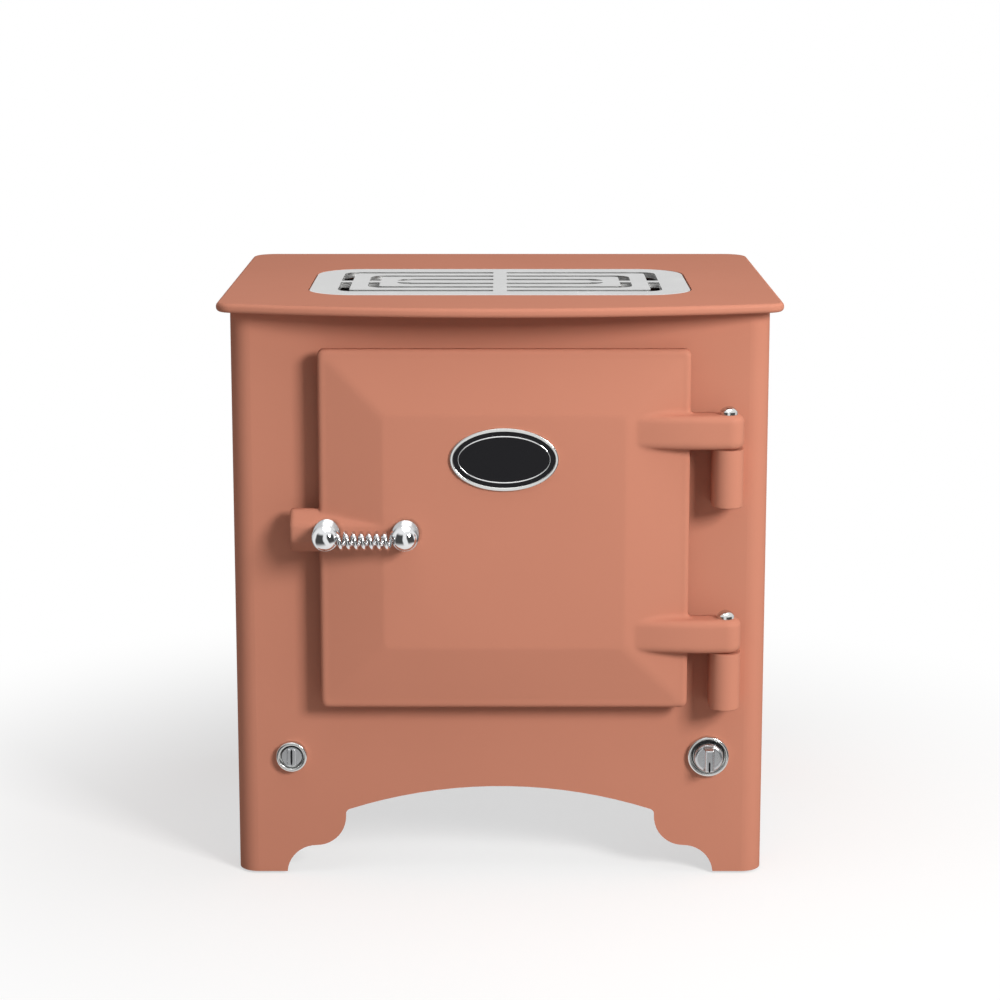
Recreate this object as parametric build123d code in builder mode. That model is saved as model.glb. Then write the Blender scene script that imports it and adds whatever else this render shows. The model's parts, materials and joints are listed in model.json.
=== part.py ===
from build123d import *
import math
import os

# A small free-standing electric stove: a warm-air grille in the top, an oven behind a side-hung door
# and two controls low on the front. Millimetres, +Z up, the front faces -Y, origin on the floor under
# the middle of the whole stove. A distance called "e" is measured forward from the casing's front face.

# Casing
CASING_W = 460.0
CASING_D = 348.0
CASING_CORNER_R = 18.0
SHEET = 2.0
REAR_FLANGE = 16.0
FOOT_GAP = 2.0

# Feet and arch cut in the casing's lower edge
FRONT_FOOT_W = 43.0
SIDE_FOOT_L = 46.0
COVE_R = 26.0
BULGE_R = 26.0
SPRING_RISE = 6.0
SPRING_R = 5.0
ARCH_RISE = 22.0
SAME_LEVEL = 0.01

# Levels inside the casing, each stacked on the one below
PAN_OVER_ARCH = 4.0
PAN_LIP_GAP = 1.0
CONTROL_OVER_PAN = 24.0
SHIELD_OVER_CONTROL = 26.0
TRAY_SHEET = 1.5
SLAB_T = 25.0
ELEMENT_SPACE = 9.0
LINER_SHEET = 1.5
JACKET_T = 25.0
HEATER_SPACE = 24.0
TRAY_LIP = 10.0

# Oven
OVEN_X = 3.5
OVEN_W = 279.0
OVEN_H = 276.0
OVEN_CORNER_R = 6.0
LINER_FLANGE = 14.0
BACK_AIR = 10.0
SEAT_BORDER = 9.0
SEAT_PROUD = 3.0
SEAT_EDGE_R = 1.2

# Shelf and rails
SHELF_OVER_FLOOR = 92.0
SHELF_SETBACK = 48.0
SHELF_SHEET = 1.5
SHELF_SIDE_GAP = 2.0
SHELF_LIP_H = 18.0
SHELF_LIP_R = 8.0
SHELF_REAR_GAP = 2.0
SHELF_COLUMNS = 6
SHELF_ROWS = 4
SHELF_SLOT_W = 18.0
SHELF_SLOT_L = 38.0
SHELF_PITCH_X = 42.8
SHELF_PITCH_Y = 57.0
RAIL_W = 9.0
RAIL_H = 10.0
RAIL_SHEET = 1.5
RAIL_LIP_GAP = 2.0
SLIDE_GAP = 0.3

# Top plate and grille
PLATE_T = 8.0
PLATE_SIDE = 10.0
PLATE_FRONT = 12.0
PLATE_BOW = 34.0
PLATE_BACK = 8.0
PLATE_FRONT_R = 16.0
PLATE_BACK_R = 22.0
PLATE_EDGE_R = 3.4
GRILLE_W = 336.0
GRILLE_D = 190.0
GRILLE_R = 42.0
GRILLE_T = 5.0
GRILLE_SETBACK = 42.0
GRILLE_GAP = 1.0
GRILLE_LEDGE = 9.0
GRILLE_EDGE_R = 1.2
GRILLE_RINGS = 3
RING_INSET = 26.0
RING_PITCH = 25.0
RING_SLOT = 10.0
RING_R = 14.0
RING_BAR = 12.0

# Door
DOOR_LAP = 18.0
DOOR_RISE = 4.0
DOOR_CORNER_R = 5.5
DOOR_BACK_E = 12.0
DOOR_EDGE_T = 9.0
DOOR_EDGE_R = 4.0
DOOR_EDGE_FLAT = 6.0
FIELD_MARGIN = 55.0
FIELD_R = 6.0
FIELD_RISE = 9.0
FIELD_EDGE_R = 3.0

# Hinges
PIN_OUT = 32.0
PIN_E = 21.0
PIN_R = 4.0
PIN_PLAY = 0.05
PIN_DEPTH = 28.0
PIN_HEAD_R = 7.5
PIN_HEAD_H = 7.0
PIN_HEAD_EDGE = 2.5
KNUCKLE_R = 13.0
HINGE_DROP = 2.0
HINGE_SPACING = 177.0
ARM_H = 29.0
ARM_EDGE_R = 5.5
ARM_BEND_R = 300.0
ARM_ROOT_SINK = 3.0
ARM_ROOT_R = 4.0
BRACKET_H = 50.0
BRACKET_GAP = 0.5
BRACKET_EDGE_R = 1.5

# Catch lug and handle
LUG_OUT = 24.5
LUG_H = 37.0
LUG_FLAT_H = 14.0
LUG_BEVEL_D = 12.0
LUG_EDGE_R = 4.0
LUG_END_R = 3.0
MAGNET_R = 11.5
MAGNET_GAP = 0.4
MAGNET_LAND = 2.5
MAGNET_DISH = 0.6
POST_IN = 7.0
POST_SPACING = 67.0
POST_R = 11.4
POST_STANDOUT = 27.0
POST_SEAT = 5.0
POST_SEAT_GAP = 0.1
POST_DOME_R = 11.0
COIL_DROP = 2.5
COIL_STANDOFF = 16.0
COIL_R = 6.6
COIL_WIRE_R = 1.8
COIL_TURNS = 7
COIL_LEG = 3.6
COIL_LEG_IN_POST = 4.0
COIL_HOLE_GAP = 0.1

# Badge
BADGE_W = 92.0
BADGE_H = 54.0
BADGE_RISE = 64.0
BADGE_RIM = 3.0
BADGE_RIM_T = 2.4
BADGE_PLATE_T = 1.6
BADGE_EDGE_R = 0.8

# Door liner, its fixings and the seal
PLUG_GAP = 7.0
PLUG_REACH = 18.0
PLUG_SHEET = 1.2
PLUG_CORNER_R = 8.0
PLUG_EDGE_R = 2.0
PLUG_FLANGE = 5.5
STUD_INSET = 16.0
STUD_R = 2.5
STUD_PROUD = 13.0
STUD_TIP = 1.2
STUD_GAP = 0.2
NUT_R = 5.0
NUT_T = 4.0
SEAL_GAP = 0.3
SEAL_CORNER_R = 16.0

# Controls
CONTROL_FROM_SIDE = 48.5
SWITCH_BOX = 36.0
SWITCH_DEPTH = 26.0
BUSH_R = 5.0
BUSH_LENGTH = 3.4
BUSH_HOLE_GAP = 0.2
SPINDLE_R = 3.0
SPINDLE_PLAY = 0.05
SPINDLE_IN_BOX = 14.0
SPINDLE_IN_KNOB = 3.0
SPINDLE_END_GAP = 1.0
BEZEL_FLOOR = 1.0
BEZEL_EDGE_R = 1.4
KNOB_BEZEL_R = 18.0
KNOB_BEZEL_WALL = 3.0
KNOB_BEZEL_H = 5.0
KNOB_GAP = 2.2
KNOB_FLOAT = 0.8
KNOB_SKIRT_H = 8.0
KNOB_SKIRT_EDGE_R = 3.0
KNOB_GRIP_W = 11.0
KNOB_GRIP_H = 9.0
KNOB_GRIP_TAPER = 9.0
KNOB_GRIP_R = 2.5
KNOB_GRIP_EDGE_R = 1.5
KNOB_LINE_W = 1.6
KNOB_LINE_D = 0.8
BUTTON_BEZEL_R = 13.5
BUTTON_BEZEL_WALL = 3.4
BUTTON_BEZEL_H = 6.0
BUTTON_GAP = 1.5
BUTTON_FLOAT = 0.8
BUTTON_T = 2.4
BUTTON_GRIP_W = 8.0
BUTTON_GRIP_H = 2.8
BUTTON_GRIP_R = 1.0
BUTTON_GRIP_EDGE_R = 0.8
BUTTON_LINE_W = 1.8
BUTTON_LINE_D = 1.2

# Back panel
BACK_SHEET = 1.5
BACK_INSET = 3.0
VENT_COUNT = 18
VENT_W = 5.0
VENT_L = 40.0
VENT_PITCH = 18.0
VENT_FROM_TOP = 44.0
VENT_FROM_PAN = 26.0
BACK_SCREW_ROWS = 4
BACK_SCREW_R = 2.0
BACK_SCREW_HEAD_R = 4.0
BACK_SCREW_HEAD_H = 2.2
BACK_SCREW_HEAD_EDGE_R = 1.2
BACK_SCREW_LENGTH = 8.0
BACK_SCREW_GAP = 0.1
BACK_SCREW_FROM_END = 30.0
CABLE_FROM_SIDE = 50.0
CABLE_OVER_PAN = 28.0
CABLE_BUSH_R = 9.0
CABLE_BUSH_RIM = 3.5
CABLE_BUSH_T = 4.0
CABLE_BORE_R = 4.5

# Legs
GUSSET_L = 48.0
GUSSET_T = 3.0
GUSSET_Z = 20.0
LEVEL_INSET = 26.0
LEVEL_PAD_R = 14.0
LEVEL_PAD_T = 7.0
LEVEL_PAD_EDGE_R = 2.0
LEVEL_STUD_R = 4.0
LEVEL_STUD_PROUD = 12.0

# Heating
OVEN_ELEMENT_R = 3.5
OVEN_ELEMENT_LEFT = 100.0
OVEN_ELEMENT_RIGHT = 34.0
OVEN_ELEMENT_FRONT = 70.0
OVEN_ELEMENT_BEND = 22.0
HEATER_R = 4.0
HEATER_HAIRPINS = 4
HEATER_PITCH = 36.0
HEATER_INSET = 20.0
HEATER_BEND_FLAT = 1.0
HEATER_OVER_LIP = 2.0
REST_W = 8.0
REST_FROM_MIDDLE = 50.0
REST_OVERHANG = 10.0
TOUCH_GAP = 0.2
SENSOR_R = 3.0
SENSOR_L = 70.0
SENSOR_X = 62.0
SENSOR_BACK = 180.0
CAPILLARY_R = 1.2
CAPILLARY_BEND = 12.0
CAPILLARY_HOLE_R = 4.0
CAPILLARY_OFF_CONTROL = 8.0
CAPILLARY_OFF_JACKET = 6.0
CAPILLARY_END_LIFT = 6.0
TERMINAL_W = 62.0
TERMINAL_D = 24.0
TERMINAL_H = 22.0
TERMINAL_WAYS = 3
TERMINAL_WELL_R = 5.0
TERMINAL_WELL_DEPTH = 9.0
TERMINAL_FROM_BACK = 60.0

# Levels and places that follow from the sizes above
BULGE_TOP_Z = COVE_R + BULGE_R
ARCH_SPRING_Z = BULGE_TOP_Z + SPRING_RISE
ARCH_APEX_Z = ARCH_SPRING_Z + ARCH_RISE
PAN_Z = ARCH_APEX_Z + PAN_OVER_ARCH
PAN_TOP_Z = PAN_Z + TRAY_SHEET
PAN_LIP = CONTROL_OVER_PAN - SWITCH_BOX / 2 - PAN_LIP_GAP
CONTROL_Z = PAN_Z + CONTROL_OVER_PAN
CONTROL_X = CASING_W / 2 - CONTROL_FROM_SIDE
CABLE_X = CABLE_FROM_SIDE - CASING_W / 2
SHIELD_Z = CONTROL_Z + SHIELD_OVER_CONTROL
SLAB_Z = SHIELD_Z + TRAY_SHEET
SLAB_TOP_Z = SLAB_Z + SLAB_T
LINER_BASE_Z = SLAB_TOP_Z + ELEMENT_SPACE
OVEN_FLOOR_Z = LINER_BASE_Z + LINER_SHEET
OVEN_Z = OVEN_FLOOR_Z + OVEN_H / 2
LINER_TOP_Z = OVEN_FLOOR_Z + OVEN_H + LINER_SHEET
DEFLECTOR_Z = LINER_TOP_Z + JACKET_T
DEFLECTOR_TOP_Z = DEFLECTOR_Z + TRAY_SHEET
CASING_TOP_Z = DEFLECTOR_TOP_Z + HEATER_SPACE
PLATE_TOP_Z = CASING_TOP_Z + PLATE_T

BACK_E = -CASING_D - BACK_SHEET
JACKET_BACK_E = -CASING_D + SHEET + BACK_AIR
LINER_BACK_E = JACKET_BACK_E + JACKET_T
OVEN_BACK_E = LINER_BACK_E + LINER_SHEET
DOOR_W = OVEN_W + 2 * DOOR_LAP
DOOR_H = OVEN_H + 2 * DOOR_LAP
DOOR_Z = OVEN_Z + DOOR_RISE
DOOR_EDGE_E = DOOR_BACK_E + DOOR_EDGE_T
FIELD_E = DOOR_EDGE_E + FIELD_RISE
POST_FRONT_E = FIELD_E + POST_STANDOUT
POST_SEAT_E = FIELD_E - POST_SEAT
DOOR_LEFT_X = OVEN_X - DOOR_W / 2
DOOR_RIGHT_X = OVEN_X + DOOR_W / 2
PIN_X = DOOR_RIGHT_X + PIN_OUT
SHELF_Z = OVEN_FLOOR_Z + SHELF_OVER_FLOOR
PLUG_W = OVEN_W - 2 * PLUG_GAP
PLUG_H = OVEN_H - 2 * PLUG_GAP

BACK_SCREW_SIDE_X = CASING_W / 2 - REAR_FLANGE / 2
BACK_SCREW_LOW_Z = PAN_Z + BACK_SCREW_FROM_END
BACK_SCREW_RISE = (CASING_TOP_Z - BACK_SCREW_FROM_END - BACK_SCREW_LOW_Z) / (BACK_SCREW_ROWS - 1)
BACK_SCREWS = [(side * BACK_SCREW_SIDE_X, BACK_SCREW_LOW_Z + row * BACK_SCREW_RISE)
               for side in (-1, 1) for row in range(BACK_SCREW_ROWS)]

# The stove is centred front to back between the handle posts and the plate's back edge
FRONT_REACH = max(POST_FRONT_E, PLATE_FRONT + PLATE_BOW)
BACK_REACH = CASING_D + BACK_SHEET + PLATE_BACK
FACE_FRONT = (BACK_REACH - FRONT_REACH) / 2

os.makedirs("parts", exist_ok=True)


def front(e):
    """Upright plane e in front of the casing's face, drawn in X and Z, looking at the user."""
    return Plane.XZ.offset(FACE_FRONT + e)


def y_at(e):
    """Y of a point that lies e in front of the casing's face."""
    return -(FACE_FRONT + e)


def casing_outline(inset):
    """Plan of the casing, drawn in by inset, with its two front corners rounded."""
    with BuildSketch() as plan:
        with Locations((0, y_at(-CASING_D / 2))):
            Rectangle(CASING_W - 2 * inset, CASING_D - 2 * inset)
        fillet(plan.vertices().group_by(Axis.Y)[0], CASING_CORNER_R - inset)
    return plan.sketch


def foot_cut(half_span):
    """Space between two feet: a cove and a bulge up each side, then a shallow arch."""
    cove_x = half_span - COVE_R
    arch_half = cove_x - BULGE_R
    with BuildSketch() as cut:
        with BuildLine():
            Line((0, 0), (half_span, 0))
            CenterArc((cove_x, 0), COVE_R, 0, 90)
            CenterArc((cove_x, BULGE_TOP_Z), BULGE_R, 180, 90)
            Line((arch_half, BULGE_TOP_Z), (arch_half, ARCH_SPRING_Z))
            TangentArc((0, ARCH_APEX_Z), (arch_half, ARCH_SPRING_Z), tangent=(1, 0))
            Line((0, ARCH_APEX_Z), (0, 0))
        make_face()
        mirror(about=Plane.YZ)
        springs = cut.vertices().filter_by_position(
            Axis.Y, ARCH_SPRING_Z - SAME_LEVEL, ARCH_SPRING_Z + SAME_LEVEL
        )
        fillet(springs, SPRING_R)
    return cut.sketch


def tray(z, lip):
    """Sheet tray that fills the casing's plan at height z, with its rim turned up by lip."""
    with BuildPart() as pan:
        with BuildSketch(Plane.XY.offset(z)):
            add(casing_outline(SHEET))
        extrude(amount=lip)
        with BuildSketch(Plane.XY.offset(z + TRAY_SHEET)):
            add(casing_outline(SHEET + TRAY_SHEET))
        extrude(amount=lip, mode=Mode.SUBTRACT)
    return pan.part


# Casing
front_cut = foot_cut(CASING_W / 2 - FRONT_FOOT_W)
side_cut = foot_cut(CASING_D / 2 - SIDE_FOOT_L)
with BuildPart() as casing:
    with BuildSketch(Plane.XY.offset(FOOT_GAP)):
        add(casing_outline(0))
        add(casing_outline(SHEET), mode=Mode.SUBTRACT)
        with Locations((0, y_at(-CASING_D))):
            Rectangle(CASING_W - 2 * REAR_FLANGE, 3 * SHEET, mode=Mode.SUBTRACT)
    extrude(amount=CASING_TOP_Z - FOOT_GAP)
    with BuildSketch(front(0)):
        with Locations((OVEN_X, OVEN_Z)):
            RectangleRounded(OVEN_W, OVEN_H, OVEN_CORNER_R)
        with Locations((-CONTROL_X, CONTROL_Z), (CONTROL_X, CONTROL_Z)):
            Circle(BUSH_R + BUSH_HOLE_GAP)
    extrude(amount=-2 * SHEET, mode=Mode.SUBTRACT)
    with BuildSketch(front(-CASING_D)):
        with Locations(*BACK_SCREWS):
            Circle(BACK_SCREW_R + BACK_SCREW_GAP)
    extrude(amount=2 * SHEET, mode=Mode.SUBTRACT)
    with BuildSketch(front(0)):
        add(front_cut)
    extrude(amount=-CASING_D, mode=Mode.SUBTRACT)
    with BuildSketch(Plane.YZ.offset(-CASING_W / 2)):
        with Locations((y_at(-CASING_D / 2), 0)):
            add(side_cut)
    extrude(amount=CASING_W, mode=Mode.SUBTRACT)
casing.part.label = "casing"
export_step(casing.part, "parts/casing.step")

# Raised border round the oven mouth, which the door's seal meets
with BuildPart() as door_seat:
    with BuildSketch(front(0)):
        with Locations((OVEN_X, OVEN_Z)):
            RectangleRounded(OVEN_W + 2 * SEAT_BORDER, OVEN_H + 2 * SEAT_BORDER, OVEN_CORNER_R + SEAT_BORDER)
    extrude(amount=SEAT_PROUD)
    fillet(door_seat.faces().sort_by(Axis.Y)[0].edges(), SEAT_EDGE_R)
    with BuildSketch(front(0)):
        with Locations((OVEN_X, OVEN_Z)):
            RectangleRounded(OVEN_W, OVEN_H, OVEN_CORNER_R)
    extrude(amount=SEAT_PROUD, mode=Mode.SUBTRACT)
door_seat.part.label = "door_seat"
export_step(door_seat.part, "parts/door_seat.step")

# Top plate: bowed front edge, rounded rim, a stepped pocket for the grille
PLATE_HALF_W = CASING_W / 2 + PLATE_SIDE
GRILLE_Y = y_at(-GRILLE_SETBACK - GRILLE_D / 2)
with BuildPart() as top_plate:
    with BuildSketch(Plane.XY.offset(CASING_TOP_Z)) as plate_plan:
        with BuildLine():
            back_left = (-PLATE_HALF_W, y_at(-BACK_REACH))
            front_left = (-PLATE_HALF_W, y_at(PLATE_FRONT))
            front_right = (PLATE_HALF_W, y_at(PLATE_FRONT))
            back_right = (PLATE_HALF_W, y_at(-BACK_REACH))
            Polyline(front_left, back_left, back_right, front_right)
            ThreePointArc(front_left, (0, y_at(PLATE_FRONT + PLATE_BOW)), front_right)
        make_face()
        fillet(plate_plan.vertices().group_by(Axis.Y)[0], PLATE_FRONT_R)
        fillet(plate_plan.vertices().group_by(Axis.Y)[-1], PLATE_BACK_R)
    extrude(amount=PLATE_T)
    fillet(top_plate.faces().sort_by(Axis.Z)[-1].edges() + top_plate.faces().sort_by(Axis.Z)[0].edges(),
           PLATE_EDGE_R)
    with BuildSketch(Plane.XY.offset(PLATE_TOP_Z)):
        with Locations((0, GRILLE_Y)):
            RectangleRounded(GRILLE_W, GRILLE_D, GRILLE_R)
    extrude(amount=-GRILLE_T, mode=Mode.SUBTRACT)
    with BuildSketch(Plane.XY.offset(PLATE_TOP_Z)):
        with Locations((0, GRILLE_Y)):
            RectangleRounded(
                GRILLE_W - 2 * GRILLE_LEDGE,
                GRILLE_D - 2 * GRILLE_LEDGE,
                GRILLE_R - GRILLE_LEDGE,
            )
    extrude(amount=-PLATE_T, mode=Mode.SUBTRACT)
top_plate.part.label = "top_plate"
export_step(top_plate.part, "parts/top_plate.step")

# Top grille: ring slots, broken by a bar along and a bar across
with BuildPart() as top_grille:
    with BuildSketch(Plane.XY.offset(PLATE_TOP_Z - GRILLE_T)):
        with Locations((0, GRILLE_Y)):
            RectangleRounded(GRILLE_W - 2 * GRILLE_GAP, GRILLE_D - 2 * GRILLE_GAP, GRILLE_R - GRILLE_GAP)
    extrude(amount=GRILLE_T)
    fillet(top_grille.faces().sort_by(Axis.Z)[-1].edges(), GRILLE_EDGE_R)
    with BuildSketch(Plane.XY.offset(PLATE_TOP_Z - GRILLE_T)):
        with Locations((0, GRILLE_Y)):
            for ring in range(GRILLE_RINGS):
                inset = RING_INSET + ring * RING_PITCH
                inner = inset + RING_SLOT
                RectangleRounded(GRILLE_W - 2 * inset, GRILLE_D - 2 * inset, RING_R)
                RectangleRounded(GRILLE_W - 2 * inner, GRILLE_D - 2 * inner, RING_R - RING_SLOT,
                                 mode=Mode.SUBTRACT)
            Rectangle(RING_BAR, GRILLE_D, mode=Mode.SUBTRACT)
            Rectangle(GRILLE_W, RING_BAR, mode=Mode.SUBTRACT)
    extrude(amount=GRILLE_T, mode=Mode.SUBTRACT)
top_grille.part.label = "top_grille"
export_step(top_grille.part, "parts/top_grille.step")

# Trays across the casing: base pan, control shield and heat deflector
with BuildPart() as base_pan:
    add(tray(PAN_Z, PAN_LIP))
base_pan.part.label = "base_pan"
export_step(base_pan.part, "parts/base_pan.step")

JACKET_SIDE_X = OVEN_X + OVEN_W / 2 + LINER_SHEET + JACKET_T
CAPILLARY_X = max(CONTROL_X + CAPILLARY_OFF_CONTROL, JACKET_SIDE_X + CAPILLARY_OFF_JACKET)
with BuildPart() as control_shield:
    add(tray(SHIELD_Z, TRAY_LIP))
    with BuildSketch(Plane.XY.offset(SHIELD_Z)):
        with Locations((CAPILLARY_X, y_at(-SENSOR_BACK))):
            Circle(CAPILLARY_HOLE_R)
    extrude(amount=TRAY_LIP, mode=Mode.SUBTRACT)
control_shield.part.label = "control_shield"
export_step(control_shield.part, "parts/control_shield.step")

with BuildPart() as heat_deflector:
    add(tray(DEFLECTOR_Z, TRAY_LIP))
heat_deflector.part.label = "heat_deflector"
export_step(heat_deflector.part, "parts/heat_deflector.step")

# Oven liner: a polished box, open to the front, with a flange behind the casing's face
LINER_FRONT_E = -SHEET
LINER_W = OVEN_W + 2 * LINER_SHEET
LINER_H = OVEN_H + 2 * LINER_SHEET
with BuildPart() as oven_liner:
    with BuildSketch(front(LINER_FRONT_E)):
        with Locations((OVEN_X, OVEN_Z)):
            RectangleRounded(LINER_W, LINER_H, OVEN_CORNER_R + LINER_SHEET)
    extrude(amount=LINER_BACK_E - LINER_FRONT_E)
    with BuildSketch(front(LINER_FRONT_E)):
        with Locations((OVEN_X, OVEN_Z)):
            RectangleRounded(
                OVEN_W + 2 * LINER_FLANGE,
                OVEN_H + 2 * LINER_FLANGE,
                OVEN_CORNER_R + LINER_FLANGE,
            )
    extrude(amount=-LINER_SHEET)
    with BuildSketch(front(LINER_FRONT_E)):
        with Locations((OVEN_X, OVEN_Z)):
            RectangleRounded(OVEN_W, OVEN_H, OVEN_CORNER_R)
    extrude(amount=OVEN_BACK_E - LINER_FRONT_E, mode=Mode.SUBTRACT)
oven_liner.part.label = "oven_liner"
export_step(oven_liner.part, "parts/oven_liner.step")

# Insulation: a jacket over the top, sides and back, and a slab below the oven element
JACKET_FRONT_E = LINER_FRONT_E - LINER_SHEET
JACKET_W = LINER_W + 2 * JACKET_T
with BuildPart() as insulation_jacket:
    with BuildSketch(front(JACKET_FRONT_E)):
        with Locations((OVEN_X, LINER_BASE_Z)):
            Rectangle(JACKET_W, LINER_H + JACKET_T, align=(Align.CENTER, Align.MIN))
    extrude(amount=JACKET_BACK_E - JACKET_FRONT_E)
    with BuildSketch(front(JACKET_FRONT_E)):
        with Locations((OVEN_X, OVEN_Z)):
            RectangleRounded(LINER_W, LINER_H, OVEN_CORNER_R + LINER_SHEET)
            Rectangle(LINER_W, LINER_H / 2, align=(Align.CENTER, Align.MAX))
    extrude(amount=LINER_BACK_E - JACKET_FRONT_E, mode=Mode.SUBTRACT)
insulation_jacket.part.label = "insulation_jacket"
export_step(insulation_jacket.part, "parts/insulation_jacket.step")

with BuildPart() as insulation_slab:
    with BuildSketch(front(JACKET_FRONT_E)):
        with Locations((OVEN_X, SLAB_Z)):
            Rectangle(JACKET_W, SLAB_T, align=(Align.CENTER, Align.MIN))
    extrude(amount=JACKET_BACK_E - JACKET_FRONT_E)
insulation_slab.part.label = "insulation_slab"
export_step(insulation_slab.part, "parts/insulation_slab.step")

# Shelf rails: an angle on each side wall, under the shelf's edges
RAIL_TOP_Z = SHELF_Z - SHELF_SHEET - SLIDE_GAP
RAIL_FRONT_E = -SHELF_SETBACK - SHELF_SHEET - RAIL_LIP_GAP
for side, name in ((-1, "shelf_rail_left"), (1, "shelf_rail_right")):
    with BuildPart() as shelf_rail:
        with BuildSketch(front(RAIL_FRONT_E)):
            with BuildLine():
                wall_x = OVEN_X + side * OVEN_W / 2
                Polyline(
                    (wall_x, RAIL_TOP_Z),
                    (wall_x - side * RAIL_W, RAIL_TOP_Z),
                    (wall_x - side * RAIL_W, RAIL_TOP_Z - RAIL_SHEET),
                    (wall_x - side * RAIL_SHEET, RAIL_TOP_Z - RAIL_SHEET),
                    (wall_x - side * RAIL_SHEET, RAIL_TOP_Z - RAIL_H),
                    (wall_x, RAIL_TOP_Z - RAIL_H),
                    close=True,
                )
            make_face()
        extrude(amount=OVEN_BACK_E - RAIL_FRONT_E)
    shelf_rail.part.label = name
    export_step(shelf_rail.part, f"parts/{name}.step")

# Shelf: slotted plate with a turned-down front lip
SHELF_W = OVEN_W - 2 * SHELF_SIDE_GAP
SHELF_FRONT_E = -SHELF_SETBACK
SHELF_D = SHELF_FRONT_E - OVEN_BACK_E - SHELF_REAR_GAP
with BuildPart() as shelf:
    with BuildSketch(Plane.XY.offset(SHELF_Z)):
        with Locations((OVEN_X, y_at(SHELF_FRONT_E - SHELF_D / 2))):
            Rectangle(SHELF_W, SHELF_D)
            with GridLocations(SHELF_PITCH_X, SHELF_PITCH_Y, SHELF_COLUMNS, SHELF_ROWS):
                SlotOverall(SHELF_SLOT_L, SHELF_SLOT_W, rotation=90, mode=Mode.SUBTRACT)
    extrude(amount=-SHELF_SHEET)
    with BuildSketch(front(SHELF_FRONT_E)) as lip:
        with Locations((OVEN_X, SHELF_Z)):
            Rectangle(SHELF_W, SHELF_LIP_H, align=(Align.CENTER, Align.MAX))
        fillet(lip.vertices().group_by(Axis.Y)[0], SHELF_LIP_R)
    extrude(amount=-SHELF_SHEET)
shelf.part.label = "shelf"
export_step(shelf.part, "parts/shelf.step")

# Door panel: one casting with a raised field, two hinge arms and the catch lug
HINGE_MID_Z = DOOR_Z - HINGE_DROP
ARM_MID_Z = (HINGE_MID_Z + HINGE_SPACING / 2, HINGE_MID_Z - HINGE_SPACING / 2)
ARM_FRONT_E = PIN_E + KNUCKLE_R
ARM_ROOT_X = DOOR_RIGHT_X - FIELD_MARGIN
ARM_BEND_X = DOOR_RIGHT_X - DOOR_EDGE_FLAT
POST_X = (DOOR_LEFT_X + POST_IN, DOOR_LEFT_X + POST_IN + POST_SPACING)


def shared_edges(edges, base, limbs):
    """Those of the edges that lie both on the base's skin and on a limb's skin."""
    skin = base.shell()
    limb_skins = [limb.shell() for limb in limbs]
    return [
        edge
        for edge in edges
        if skin.distance_to(edge @ 0.5) < SAME_LEVEL
        and min(limb.distance_to(edge @ 0.5) for limb in limb_skins) < SAME_LEVEL
    ]


with BuildPart() as hinge_arm:
    with BuildSketch(Plane.XY) as arm_plan:
        with BuildLine():
            Polyline(
                (ARM_ROOT_X, y_at(DOOR_BACK_E)),
                (ARM_ROOT_X, y_at(FIELD_E - ARM_ROOT_SINK)),
                (ARM_BEND_X, y_at(ARM_FRONT_E)),
                (PIN_X, y_at(ARM_FRONT_E)),
                (PIN_X, y_at(DOOR_BACK_E)),
                close=True,
            )
        make_face()
        fillet(arm_plan.vertices().sort_by_distance((ARM_BEND_X, y_at(ARM_FRONT_E)))[0], ARM_BEND_R)
    extrude(amount=ARM_H / 2, both=True)
    arm_ends = hinge_arm.faces().group_by(Axis.Z)
    rims = arm_ends[0].edges() + arm_ends[-1].edges()
    rims = rims.filter_by_position(Axis.X, ARM_ROOT_X + SAME_LEVEL, PIN_X - SAME_LEVEL)
    rims = rims.filter_by_position(Axis.Y, y_at(ARM_FRONT_E + SAME_LEVEL), y_at(DOOR_BACK_E + SAME_LEVEL))
    fillet(rims, ARM_EDGE_R)
    with BuildSketch(front(PIN_E)) as knuckle:
        with Locations((PIN_X + KNUCKLE_R / 2, 0)):
            Rectangle(KNUCKLE_R, ARM_H)
        fillet(knuckle.vertices().group_by(Axis.X)[-1], ARM_EDGE_R)
    revolve(axis=Axis((PIN_X, y_at(PIN_E), 0), (0, 0, 1)))

with BuildPart() as catch_lug:
    with BuildSketch(Plane.YZ.offset(DOOR_LEFT_X - LUG_OUT)) as lug:
        with BuildLine():
            bevel_e = FIELD_E - LUG_BEVEL_D
            Polyline(
                (y_at(DOOR_BACK_E), DOOR_Z - LUG_H / 2),
                (y_at(bevel_e), DOOR_Z - LUG_H / 2),
                (y_at(FIELD_E), DOOR_Z - LUG_FLAT_H / 2),
                (y_at(FIELD_E), DOOR_Z + LUG_FLAT_H / 2),
                (y_at(bevel_e), DOOR_Z + LUG_H / 2),
                (y_at(DOOR_BACK_E), DOOR_Z + LUG_H / 2),
                close=True,
            )
        make_face()
        fillet(lug.vertices().group_by(Axis.X)[:-1], LUG_EDGE_R)
    extrude(amount=LUG_OUT + FIELD_MARGIN + FIELD_EDGE_R)
    fillet(catch_lug.faces().sort_by(Axis.X)[0].edges(), LUG_END_R)

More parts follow.
